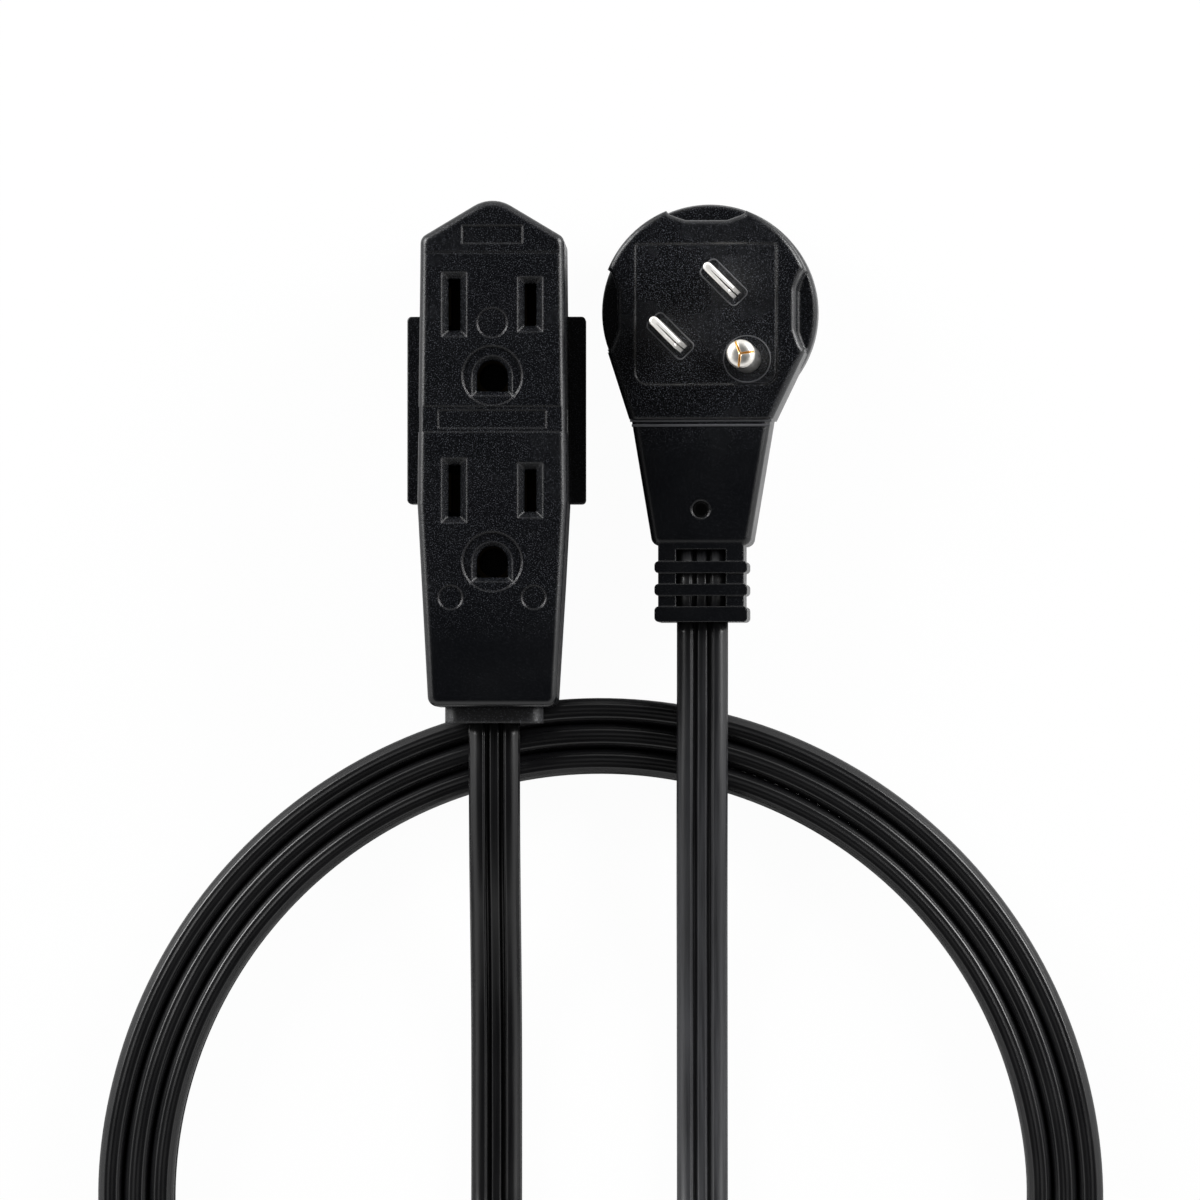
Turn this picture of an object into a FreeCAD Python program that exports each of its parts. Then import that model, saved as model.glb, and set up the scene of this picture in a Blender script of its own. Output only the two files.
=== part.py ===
import FreeCAD, Part
import Sketcher
import math
import os
import re

from FreeCAD import Placement, Rotation, Vector

# A flat household extension cord lying on a table, seen face up. The connector block lies on
# the pad of its rear outlet with its apex towards +Y, and the origin is under its middle.
# The plug lies on its back to the right, and the cord between them makes a ring of turns
# standing on edge.

doc = FreeCAD.newDocument("ExtensionCord")
sheet = doc.addObject("Spreadsheet::Sheet", "Sizes")

# Driving sizes in millimetres, with what each one measures
SIZES = [
    ("apex_y", 44.59, "connector block, where the gable's slopes would meet"),
    ("shoulder_y", 37.4, "where the gable meets the sides"),
    ("taper_y", -7.0, "where the sides start to draw in"),
    ("foot_y", -40.9, "cord end of the block"),
    ("body_width", 25.0, "width between the straight sides"),
    ("foot_width", 21.4, "width at the cord end"),
    ("block_depth", 27.0, "rear pad to front face"),
    ("parting_z", 14.0, "height of the joint between the shells"),
    ("face_wall", 3.0, "front wall"),
    ("side_wall", 2.0, "side walls"),
    ("rear_floor", 3.0, "rear wall above the pad"),
    ("apex_round", 6.0, "rounding of the gable's point"),
    ("corner_round", 1.7, "rounding of the other corners"),
    ("face_round", 1.4, "rounding around the front face"),
    ("pad_depth", 4.0, "rear pad, front to back"),
    ("pad_width", 30.2, "rear pad, side to side"),
    ("pad_length", 31.7, "rear pad along the block"),
    ("pad_y", 9.45, "middle of the rear pad"),
    ("pad_round", 0.7, "rounding of the pad's corners"),
    ("ramp_y", -20.0, "where the underside starts to rise"),
    ("ramp_rise", 5.7, "rise of the underside at the cord end"),
    ("band_y", 7.05, "middle of the stepped band between the outlets"),
    ("band_length", 4.3, "stepped band along the block"),
    ("band_step", 0.3, "step at each side of the band"),
    ("band_face_step", 0.15, "how far the band lies below the face"),
    ("line_y", 34.9, "fine line across the gable"),
    ("line_width", 0.25, "that line"),
    ("line_depth", 0.12, "that line"),
    ("label_depth", 0.3, "depth of the bare label recesses"),
    ("small_label_width", 10.1, "upper label recess"),
    ("small_label_y", 37.9, "middle of the upper label recess"),
    ("label_width", 18.0, "label recess in the band"),
    ("label_length", 3.0, "label recesses along the block"),
    ("upper_slot_y", 26.2, "blade slots of the upper front outlet"),
    ("lower_slot_y", -4.85, "blade slots of the lower front outlet"),
    ("rear_slot_y", 14.9, "blade slots of the rear outlet"),
    ("blade_spacing", 12.7, "between the two blades"),
    ("ground_drop", 11.89, "from the blades to the ground pin"),
    ("slot_width", 1.95, "blade slots across"),
    ("neutral_slot", 8.6, "neutral slot along the block"),
    ("line_slot", 7.0, "line slot along the block"),
    ("funnel_margin", 1.15, "bevel around each slot"),
    ("funnel_depth", 1.3, "depth of the bevels"),
    ("ground_hole_radius", 2.6, "round part of the ground hole"),
    ("dish_radius", 5.0, "shallow dish around the ground hole"),
    ("dish_depth", 0.4, "depth of the dish"),
    ("mark_radius", 2.5, "round mark between the slots"),
    ("mark_drop", 3.05, "from the blades' middle to that mark"),
    ("foot_mark_radius", 2.0, "round marks near the cord end"),
    ("foot_mark_x", 6.95, "side offset of those marks"),
    ("foot_mark_y", -22.7, "place of those marks"),
    ("mark_depth", 0.2, "depth of the round marks"),
    ("collar_width", 16.3, "cord collar, outer flange"),
    ("collar_height", 11.0, "cord collar, front to back"),
    ("collar_reach", 2.7, "cord collar beyond the block"),
    ("collar_round", 2.2, "rounding of the collar's corners"),
    ("collar_neck_width", 11.0, "collar inside the end wall"),
    ("collar_neck_height", 4.8, "collar inside the end wall"),
    ("collar_lip", 0.8, "inner lip that holds the collar"),
    ("collar_lip_depth", 1.5, "thickness of that lip"),
    ("exit_z", 15.0, "height of the cord where it leaves the block"),
    ("fit", 0.1, "clearance between fitted pieces"),
    ("strip_metal", 0.6, "thickness of the contact brass"),
    ("blade_grip", 1.5, "gap between a contact's leaves"),
    ("leaf_width", 6.4, "contact leaves along the block"),
    ("bus_x", 8.9, "side offset of the bus bars"),
    ("bus_low_y", -14.0, "cord end of the bus bars"),
    ("web_z", 9.4, "floor of the front contacts"),
    ("bridge_z", 17.6, "top of the arms that cross over"),
    ("leaf_gap", 2.5, "front contact leaves to the cover"),
    ("rear_leaf_z", 9.4, "lowest point of the rear contact leaves"),
    ("arm_width", 2.0, "crossing arms along the block"),
    ("neutral_arm_y", 20.5, "neutral arm, between the upper and the rear outlet"),
    ("line_arm_y", 9.3, "line arm, between the rear and the lower outlet"),
    ("sleeve_radius", 3.2, "ground sleeves outside"),
    ("sleeve_bore", 2.42, "ground sleeves inside"),
    ("sleeve_gap", 4.5, "front ground sleeves to the cover"),
    ("rear_sleeve_z", 17.0, "far end of the rear ground sleeve"),
    ("ground_width", 5.0, "ground strip across"),
    ("ground_low_y", -23.0, "cord end of the ground strip"),
    ("carrier_width", 18.6, "contact carrier across"),
    ("carrier_low_y", -24.0, "cord end of the carrier"),
    ("carrier_high_y", 31.0, "gable end of the carrier"),
    ("carrier_base", 2.0, "thickness of the carrier's base"),
    ("rail_wall", 0.6, "thickness of the carrier's side rails"),
    ("cover_thickness", 1.5, "contact cover"),
    ("lead_radius", 1.3, "insulated leads"),
    ("core_radius", 0.7, "copper of the leads"),
    ("lead_pitch", 2.9, "between neighbouring leads in the cord"),
    ("cord_width", 8.5, "flat cord across"),
    ("cord_thickness", 3.8, "flat cord through its thin way"),
    ("coil_radius", 74.15, "middle line of the innermost turn"),
    ("coil_pitch", 4.27, "from one turn to the next"),
    ("coil_x", 17.6, "middle of the coil"),
    ("coil_y", -124.1, "middle of the coil"),
    ("coil_lead_radius", 55.0, "bend where the innermost turn leaves the coil"),
    ("plug_x", 35.5, "plug, middle of its neck"),
    ("head_shift", 0.9, "middle of the round back against the neck's"),
    ("plug_y", 25.9, "plug, middle of its round back"),
    ("plug_radius", 18.25, "round back of the plug"),
    ("plug_back", 7.0, "thickness of the round back"),
    ("plug_face_radius", 17.9, "front layer of the plug"),
    ("plug_depth", 16.0, "back to face"),
    ("plug_lean", 3.0, "degrees that the plug leans to the left as it lies"),
    ("plug_rim_round", 1.6, "rounding of the round back's rims"),
    ("plug_face_round", 0.9, "rounding around the front layer's face"),
    ("neck_round", 1.4, "rounding of the neck's long edges"),
    ("notch_flat", 3.5, "half the flat of each finger notch"),
    ("notch_reach", 15.0, "from the plug's middle to that flat"),
    ("notch_half", 6.9, "half the whole notch"),
    ("notch_rise", 1.2, "slope at each end of a notch"),
    ("notch_round", 1.5, "rounding of a notch's corners"),
    ("neck_top", 7.2, "where the neck leaves the round, below the middle"),
    ("neck_top_half", 16.6, "half width there"),
    ("neck_step", 18.4, "step line across the neck, below the middle"),
    ("neck_step_half", 12.1, "half width there"),
    ("neck_end", 39.7, "end of the neck, below the middle"),
    ("neck_end_half", 8.2, "half width there"),
    ("neck_corner", 1.5, "rounding of the corners there"),
    ("bead_step", 0.35, "how much the neck is narrower than the step line"),
    ("neck_low_z", 1.5, "underside of the neck"),
    ("neck_high_z", 15.5, "upper side of the neck"),
    ("ladder_length", 12.8, "strain relief beyond the neck"),
    ("ladder_half", 7.2, "half width of its core"),
    ("ladder_low_z", 6.5, "underside of its core"),
    ("ladder_high_z", 15.2, "upper side of its core"),
    ("rib_step", 0.6, "how far its ribs stand out"),
    ("rib_length", 2.0, "each rib along the cord"),
    ("rib_pitch", 3.8, "from one rib to the next"),
    ("rib_round", 0.7, "rounding of the ribs' corners"),
    ("rib_first", 2.6, "from the neck to the first rib"),
    ("window_half", 4.2, "half width of its windows"),
    ("plug_cord_z", 10.95, "height of the cord in the plug"),
    ("hole_radius", 1.4, "blind hole in the neck"),
    ("hole_drop", 33.6, "that hole, below the plug's middle"),
    ("hole_depth", 2.0, "that hole"),
    ("inner_half", 11.7, "inner bridge, half width"),
    ("inner_length", 23.3, "inner bridge along the plug"),
    ("inner_shift", -0.8, "middle of the bridge against the plug's middle"),
    ("inner_low_z", 6.0, "underside of the bridge"),
    ("inner_round", 2.0, "rounding of the bridge's corners"),
    ("well_half", 10.3, "room under the bridge, half width"),
    ("well_low_z", 2.5, "floor of that room"),
    ("pins_shift", -0.6, "middle of the blades against the neck's"),
    ("slant", 0.70710678, "sine and cosine of the pins' turn of 45 degrees"),
    ("blade_width", 6.35, "plug blades across"),
    ("blade_thickness", 1.52, "plug blades through"),
    ("blade_reach", 16.6, "plug blades beyond the face"),
    ("blade_tail", 3.0, "narrow root of each blade, across"),
    ("blade_tail_z", 3.2, "lowest point of the blade roots"),
    ("fold_gap", 0.2, "slit left by the folded brass"),
    ("fold_length", 3.4, "that slit across the blade"),
    ("fold_depth", 9.0, "that slit along the blade"),
    ("pin_radius", 2.38, "ground pin"),
    ("pin_root_step", 0.25, "how much thinner the pin is in the bridge"),
    ("pin_root_show", 0.3, "thinner root that shows above the face"),
    ("pin_reach", 19.6, "ground pin beyond the face"),
    ("pin_tip", 0.9, "chamfer of the ground pin's tip"),
]
for row, (alias, number, meaning) in enumerate(SIZES, start=1):
    sheet.set(f"A{row}", meaning)
    sheet.set(f"B{row}", str(number))
    sheet.setAlias(f"B{row}", alias)
doc.recompute()


def formula(text):
    """Writes the sheet's name before every size that a formula mentions."""
    return re.sub(r"[a-z]\w*", lambda word: "Sizes." + word.group(), text)


def size(text):
    """Value of a formula of sheet sizes."""
    return float(sheet.evalExpression(formula(text)))


def bind(item, prop, text):
    """Ties a property to a formula of sheet sizes."""
    item.setExpression(prop, formula(text))


def place(item, low):
    """Ties an object's place to three formulas."""
    for axis, text in zip("xyz", low):
        bind(item, "Placement.Base." + axis, text)


def box(name, low, sides):
    """Box from its lowest corner and its three sides."""
    item = doc.addObject("Part::Box", name)
    for prop, text in zip(("Length", "Width", "Height"), sides):
        bind(item, prop, text)
    place(item, low)
    return item


def centred(name, middle, sides, low_z, height):
    """Box from its middle in plan, its floor and its height."""
    low = (f"({middle[0]}) - ({sides[0]}) / 2", f"({middle[1]}) - ({sides[1]}) / 2", low_z)
    return box(name, low, (sides[0], sides[1], height))


def rod(name, foot, radius, height):
    """Upright cylinder from the middle of its foot."""
    item = doc.addObject("Part::Cylinder", name)
    bind(item, "Radius", radius)
    bind(item, "Height", height)
    place(item, foot)
    return item


def fuse(name, items):
    """One solid from several that overlap."""
    item = doc.addObject("Part::MultiFuse", name)
    item.Shapes = items
    item.Refine = True
    return item


def cut(name, base, tools):
    """Base with the tools taken out of it."""
    item = doc.addObject("Part::Cut", name)
    item.Base = base
    item.Tool = tools[0] if len(tools) == 1 else fuse(name + "_tools", tools)
    return item


def plane_of(body, role):
    """Origin plane of a body, found by its role."""
    return next(part for part in body.Origin.OriginFeatures if part.Role == role)


def outline(body, name, corners):
    """Closed sketch of straight sides whose corners follow formulas."""
    sketch = body.newObject("Sketcher::SketchObject", name)
    sketch.AttachmentSupport = [(plane_of(body, "XY_Plane"), "")]
    sketch.MapMode = "FlatFace"
    spots = [Vector(size(x), size(y), 0) for x, y in corners]
    count = len(spots)
    for i in range(count):
        sketch.addGeometry(Part.LineSegment(spots[i], spots[(i + 1) % count]), False)
    for i in range(count):
        sketch.addConstraint(Sketcher.Constraint("Coincident", i, 2, (i + 1) % count, 1))
    for i, (x, y) in enumerate(corners):
        for kind, value, text in (("DistanceX", spots[i].x, x), ("DistanceY", spots[i].y, y)):
            number = sketch.addConstraint(Sketcher.Constraint(kind, -1, 1, i, 1, value))
            bind(sketch, f"Constraints[{number}]", text)
    return sketch


def prism(name, corners, low_z, height):
    """Body padded upward from an outline."""
    body = doc.addObject("PartDesign::Body", name)
    bind(body, "Placement.Base.z", low_z)
    pad = body.newObject("PartDesign::Pad", name + "_pad")
    pad.Profile = outline(body, name + "_outline", corners)
    bind(pad, "Length", height)
    body.Tip = pad
    doc.recompute()
    return body


def round_edges(body, radius, chosen):
    """Rounds the edges of the body's last feature that a test chooses."""
    base = body.Tip
    names = [f"Edge{i}" for i, edge in enumerate(base.Shape.Edges, start=1) if chosen(edge)]
    feature = body.newObject("PartDesign::Fillet", body.Name + "_round")
    feature.Base = (base, names)
    bind(feature, "Radius", radius)
    body.Tip = feature
    doc.recompute()


def upright_at(spots):
    """Test for the upright edges at the given corners."""
    places = [Vector(size(x), size(y), 0) for x, y in spots]

    def chosen(edge):
        ends = [Vector(v.X, v.Y, 0) for v in edge.Vertexes]
        return len(ends) == 2 and any(all((end - p).Length < 0.01 for end in ends) for p in places)

    return chosen


def upright(edge):
    """Test for every upright edge."""
    return abs(edge.tangentAt(edge.FirstParameter).z) > 0.99


def level_at(height):
    """Test for the edges that lie at one height of their body."""
    level = size(height)

    def chosen(edge):
        return all(abs(v.Z - level) < 0.01 for v in edge.Vertexes)

    return chosen


def mirrored(right):
    """Corners of a symmetrical outline from those of its right half, top to bottom."""
    left = [(f"-({x})", y) for x, y in reversed(right)]
    return right + left


# Connector shells

SIDE_CORNERS = [
    ("body_width / 2 - 0.5", "shoulder_y"),
    ("body_width / 2", "taper_y"),
    ("foot_width / 2", "foot_y"),
]
BLOCK_OUTLINE = [("0", "apex_y")] + mirrored(SIDE_CORNERS)
CAVITY_OUTLINE = [("0", "apex_y - 1.3 * side_wall")] + mirrored([
    ("body_width / 2 - 0.5 - side_wall", "shoulder_y - 0.7 * side_wall"),
    ("body_width / 2 - side_wall", "taper_y"),
    ("foot_width / 2 - side_wall", "foot_y + side_wall"),
])


def shell_blank(name, low_z, height):
    """Gabled block with its upright corners rounded."""
    body = prism(name, BLOCK_OUTLINE, low_z, height)
    round_edges(body, "apex_round", upright_at([("0", "apex_y")]))
    shoulders = [("body_width / 2 - 0.5", "shoulder_y"), ("0.5 - body_width / 2", "shoulder_y")]
    feet = [("foot_width / 2", "foot_y"), ("-foot_width / 2", "foot_y")]
    round_edges(body, "corner_round", upright_at(shoulders + feet))
    return body


def slot_cutters(name, x, y, length, face_z, reach, front):
    """Blade slot with its bevel, cut in from a face."""
    low = f"{face_z} - ({reach})" if front else f"{face_z} - 1"
    slot = centred(name, (x, y), ("slot_width", length), low, f"{reach} + 1")
    return [slot, bevel(name + "_bevel", (x, y), ("slot_width", length), face_z, front)]


def bevel(name, middle, sides, face_z, front):
    """Four-sided funnel that widens to a face."""
    item = doc.addObject("Part::Wedge", name)
    half_x = f"({sides[0]}) / 2"
    half_y = f"({sides[1]}) / 2"
    for prop, text in (
        ("Xmin", f"-{half_x}"), ("Xmax", half_x), ("Zmin", f"-{half_y}"), ("Zmax", half_y),
        ("X2min", f"-{half_x} - funnel_margin"), ("X2max", f"{half_x} + funnel_margin"),
        ("Z2min", f"-{half_y} - funnel_margin"), ("Z2max", f"{half_y} + funnel_margin"),
        ("Ymin", "0"), ("Ymax", "funnel_depth"),
    ):
        bind(item, prop, text)
    turn = 90 if front else -90
    item.Placement = Placement(Vector(), Rotation(Vector(1, 0, 0), turn))
    start = f"{face_z} - funnel_depth" if front else f"{face_z} + funnel_depth"
    place(item, (middle[0], middle[1], start))
    return item


def arch_bevel(name, y, face_z, front):
    """Funnel of a ground hole, arched on the blades' side and square on the other."""
    arch = doc.addObject("Part::Cone", name + "_arch")
    narrow = "ground_hole_radius"
    wide = "ground_hole_radius + funnel_margin"
    bind(arch, "Radius1", narrow if front else wide)
    bind(arch, "Radius2", wide if front else narrow)
    bind(arch, "Height", "funnel_depth")
    place(arch, ("0", y, f"{face_z} - funnel_depth" if front else face_z))
    middle = ("0", f"{y} - ground_hole_radius / 2")
    foot = bevel(name + "_foot", middle, ("2 * ground_hole_radius", "ground_hole_radius"), face_z, front)
    if front:
        bind(foot, "Z2min", "-ground_hole_radius / 2")
    else:
        bind(foot, "Z2max", "ground_hole_radius / 2")
    return [arch, foot]


def outlet_cutters(name, slot_y, face_z, reach, front):
    """Everything that one grounded outlet takes out of its face."""
    side = "" if front else "-"
    ground_y = f"{slot_y} - ground_drop"
    low = f"{face_z} - ({reach})" if front else f"{face_z} - 1"
    dish_low = f"{face_z} - dish_depth" if front else f"{face_z} - 1"
    neutral_x = f"0 - {side}blade_spacing / 2"
    line_x = f"0 + {side}blade_spacing / 2"
    tools = slot_cutters(name + "_neutral", neutral_x, slot_y, "neutral_slot", face_z, reach, front)
    tools += slot_cutters(name + "_line", line_x, slot_y, "line_slot", face_z, reach, front)
    tools.append(rod(name + "_ground", ("0", ground_y, low), "ground_hole_radius", f"{reach} + 1"))
    tools.append(box(
        name + "_flat",
        ("-ground_hole_radius", f"{ground_y} - ground_hole_radius", low),
        ("2 * ground_hole_radius", "ground_hole_radius", f"{reach} + 1"),
    ))
    tools += arch_bevel(name + "_ground_bevel", ground_y, face_z, front)
    tools.append(rod(name + "_dish", ("0", ground_y, dish_low), "dish_radius", "dish_depth + 1"))
    return tools


def front_shell():
    """Front half of the block, with two outlets, the stepped band and bare label recesses."""
    blank = shell_blank("front_blank", "parting_z", "block_depth - parting_z")
    round_edges(blank, "face_round", level_at("block_depth - parting_z"))
    room_height = "block_depth - face_wall - parting_z + 1"
    room = prism("front_room", CAVITY_OUTLINE, "parting_z - 1", room_height)
    tools = [room]
    for name, slot_y in (("upper", "upper_slot_y"), ("lower", "lower_slot_y")):
        tools += outlet_cutters(name, slot_y, "block_depth", "face_wall + 1", True)
    for name, side in (("band_right", 1), ("band_left", -1)):
        low_x = "body_width / 2 - band_step" if side > 0 else "-body_width / 2 - 1"
        tools.append(box(
            name,
            (low_x, "band_y - band_length / 2", "parting_z - 1"),
            ("band_step + 1", "band_length", "block_depth"),
        ))
    for name, y, length, depth in (
        ("band_face", "band_y", "band_length", "band_face_step"),
        ("gable_line", "line_y", "line_width", "line_depth"),
    ):
        floor = f"block_depth - {depth}"
        tools.append(centred(name, ("0", y), ("body_width + 2", length), floor, f"1 + {depth}"))
    recess = "block_depth - label_depth"
    for name, y, width in (
        ("small_label", "small_label_y", "small_label_width"),
        ("band_label", "band_y", "label_width"),
    ):
        tools.append(centred(name, ("0", y), (width, "label_length"), recess, "1 + label_depth"))
    mark_z = "block_depth - mark_depth"
    tools.append(rod("mark", ("0", "upper_slot_y - mark_drop", mark_z), "mark_radius", "1 + mark_depth"))
    for name, x in (("foot_mark_right", "foot_mark_x"), ("foot_mark_left", "-foot_mark_x")):
        tools.append(rod(name, (x, "foot_mark_y", mark_z), "foot_mark_radius", "1 + mark_depth"))
    tools.append(collar_opening("front_collar_opening"))
    return cut("front_shell", blank, tools)


def collar_opening(name):
    """Room for the collar's neck in the end wall and for its lip behind it."""
    neck = box(
        name + "_neck",
        ("-collar_neck_width / 2 - fit", "foot_y - 1", "exit_z - collar_neck_height / 2 - fit"),
        ("collar_neck_width + 2 * fit", "side_wall + 2", "collar_neck_height + 2 * fit"),
    )
    lip = box(
        name + "_lip",
        (
            "-collar_neck_width / 2 - collar_lip - fit",
            "foot_y + side_wall",
            "exit_z - collar_neck_height / 2 - collar_lip - fit",
        ),
        (
            "collar_neck_width + 2 * collar_lip + 2 * fit",
            "collar_lip_depth + 1",
            "collar_neck_height + 2 * collar_lip + 2 * fit",
        ),
    )
    return fuse(name, [neck, lip])


def rear_shell():
    """Rear half of the block, with the pad that carries the third outlet."""
    blank = shell_blank("rear_blank", "pad_depth", "parting_z - pad_depth")
    pad = prism("rear_pad", mirrored([
        ("pad_width / 2", "pad_y + pad_length / 2"),
        ("pad_width / 2", "pad_y - pad_length / 2"),
    ]), "0", "pad_depth + 0.5")
    round_edges(pad, "pad_round", upright)
    ramp_end = "ramp_rise * (ramp_y - foot_y + 2) / (ramp_y - foot_y)"
    ramp = prism("ramp", [
        ("1 - pad_depth", "ramp_y"),
        ("1 - pad_depth", "foot_y - 2"),
        (f"0 - pad_depth - {ramp_end}", "foot_y - 2"),
        ("0 - pad_depth", "ramp_y"),
    ], "-body_width", "2 * body_width")
    ramp.Placement = Placement(Vector(), Rotation(Vector(0, 1, 0), 90))
    place(ramp, ("-body_width", "0", "0"))
    draw_in = "(body_width - foot_width) / 2 * (taper_y - carrier_low_y + 1) / (taper_y - foot_y)"
    deep = prism("rear_room", CAVITY_OUTLINE[:1] + mirrored([
        ("body_width / 2 - 0.5 - side_wall", "shoulder_y - 0.7 * side_wall"),
        ("body_width / 2 - side_wall", "taper_y"),
        (f"body_width / 2 - side_wall - {draw_in}", "carrier_low_y - 1"),
    ]), "pad_depth + rear_floor", "parting_z")
    shallow = box(
        "lead_room",
        ("side_wall - foot_width / 2", "foot_y + side_wall", "exit_z - lead_radius - 1"),
        ("foot_width - 2 * side_wall", "carrier_low_y - foot_y", "parting_z"),
    )
    tools = [ramp, deep, shallow, collar_opening("rear_collar_opening")]
    tools += outlet_cutters("rear", "rear_slot_y", "0", "pad_depth + rear_floor + 1", False)
    return cut("rear_shell", fuse("rear_solid", [blank, pad]), tools)


def upright_slab(name, width, height, start_y, reach, rounding):
    """Rounded slab across the block's end, from start_y towards the cord."""
    body = prism(name, mirrored([
        (f"({width}) / 2", f"({height}) / 2"),
        (f"({width}) / 2", f"-({height}) / 2"),
    ]), "0", reach)
    round_edges(body, rounding, upright)
    body.Placement = Placement(Vector(), Rotation(Vector(1, 0, 0), 90))
    place(body, ("0", start_y, "exit_z"))
    return body


def cord_collar():
    """Oblong grommet that grips the end wall, with three holes for the leads."""
    flange = upright_slab(
        "collar_flange", "collar_width", "collar_height",
        "foot_y", "collar_reach", "collar_round",
    )
    neck = upright_slab(
        "collar_neck", "collar_neck_width", "collar_neck_height",
        "foot_y + side_wall", "side_wall + 0.5", "collar_lip",
    )
    lip = upright_slab(
        "collar_inner_lip", "collar_neck_width + 2 * collar_lip", "collar_neck_height + 2 * collar_lip",
        "foot_y + side_wall + collar_lip_depth", "collar_lip_depth", "collar_lip",
    )
    holes = []
    for i in (-1, 0, 1):
        hole = doc.addObject("Part::Cylinder", f"collar_hole_{i + 2}")
        bind(hole, "Radius", "lead_radius + fit")
        bind(hole, "Height", "side_wall + collar_reach + collar_lip_depth + 2")
        hole.Placement = Placement(Vector(), Rotation(Vector(1, 0, 0), 90))
        place(hole, (f"{i} * lead_pitch", "foot_y + side_wall + collar_lip_depth + 1", "exit_z"))
        holes.append(hole)
    return cut("collar", fuse("collar_solid", [flange, neck, lip]), holes)


# Contacts and what holds them

CARRIER_Z = "pad_depth + rear_floor"
CARRIER_TOP = "pad_depth + rear_floor + carrier_base"
RAIL_X = "bus_x + strip_metal / 2 + fit + rail_wall / 2"
COVER_Z = "(block_depth - face_wall - fit - cover_thickness)"


def clip(name, x, y, low_z, high_z, web_at_top):
    """Two leaves that pinch a blade, joined by a web at one end."""
    leaves = []
    for i in (-1, 1):
        middle = (f"({x}) + {i} * (blade_grip + strip_metal) / 2", y)
        sides = ("strip_metal", "leaf_width")
        leaves.append(centred(f"{name}_leaf_{i + 2}", middle, sides, low_z, f"{high_z} - {low_z}"))
    web_z = f"{high_z} - strip_metal" if web_at_top else low_z
    web = centred(name + "_web", (x, y), ("blade_grip + 2 * strip_metal", "leaf_width"), web_z, "strip_metal")
    return leaves + [web]


def live_strip(name, side, arm_y):
    """Bus bar with two front contacts, and an arm across to the rear contact."""
    front_x = f"{side} * blade_spacing / 2"
    rear_x = f"{-side} * blade_spacing / 2"
    items = [centred(
        name + "_bus",
        (f"{side} * bus_x", "(upper_slot_y + leaf_width / 2 + bus_low_y) / 2"),
        ("strip_metal", "upper_slot_y + leaf_width / 2 - bus_low_y"),
        "web_z", "bridge_z - web_z",
    )]
    for place_name, slot_y in (("upper", "upper_slot_y"), ("lower", "lower_slot_y")):
        items += clip(f"{name}_{place_name}", front_x, slot_y, "web_z", f"({COVER_Z} - leaf_gap)", False)
        items.append(centred(
            f"{name}_{place_name}_link",
            (f"{side} * (blade_spacing / 2 + bus_x) / 2", slot_y),
            ("bus_x - blade_spacing / 2", "leaf_width"), "web_z", "strip_metal",
        ))
    items += clip(name + "_rear", rear_x, "rear_slot_y", "rear_leaf_z", "bridge_z", True)
    items.append(centred(
        name + "_arm",
        (f"{side} * (bus_x - blade_spacing / 2 - blade_grip / 2 - strip_metal) / 2", arm_y),
        ("bus_x + blade_spacing / 2 + blade_grip / 2 + strip_metal", "arm_width"),
        "bridge_z - strip_metal", "strip_metal",
    ))
    items.append(centred(
        name + "_tongue",
        (rear_x, f"({arm_y} + rear_slot_y) / 2"),
        ("blade_grip + 2 * strip_metal", "arm_width + leaf_width"),
        "bridge_z - strip_metal", "strip_metal",
    ))
    return fuse(name, items)


def ground_strip():
    """Flat strip with three sleeves that take the ground pins."""
    plate = centred(
        "ground_plate",
        ("0", "(upper_slot_y - ground_drop + ground_low_y) / 2"),
        ("ground_width", "upper_slot_y - ground_drop - ground_low_y"),
        CARRIER_TOP, "strip_metal",
    )
    sleeves = []
    bores = []
    for name, slot_y, low_z, high_z in (
        ("upper", "upper_slot_y", CARRIER_TOP, f"({COVER_Z} - sleeve_gap)"),
        ("lower", "lower_slot_y", CARRIER_TOP, f"({COVER_Z} - sleeve_gap)"),
        ("rear", "rear_slot_y", CARRIER_Z + " + 2 * fit", "rear_sleeve_z"),
    ):
        foot = ("0", f"{slot_y} - ground_drop", low_z)
        deep = ("0", f"{slot_y} - ground_drop", f"{low_z} - 1")
        sleeves.append(rod(f"{name}_sleeve", foot, "sleeve_radius", f"{high_z} - ({low_z})"))
        bores.append(rod(f"{name}_bore", deep, "sleeve_bore", f"{high_z} - ({low_z}) + 2"))
    return cut("ground_contacts", fuse("ground_solid", [plate] + sleeves), bores)


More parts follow.
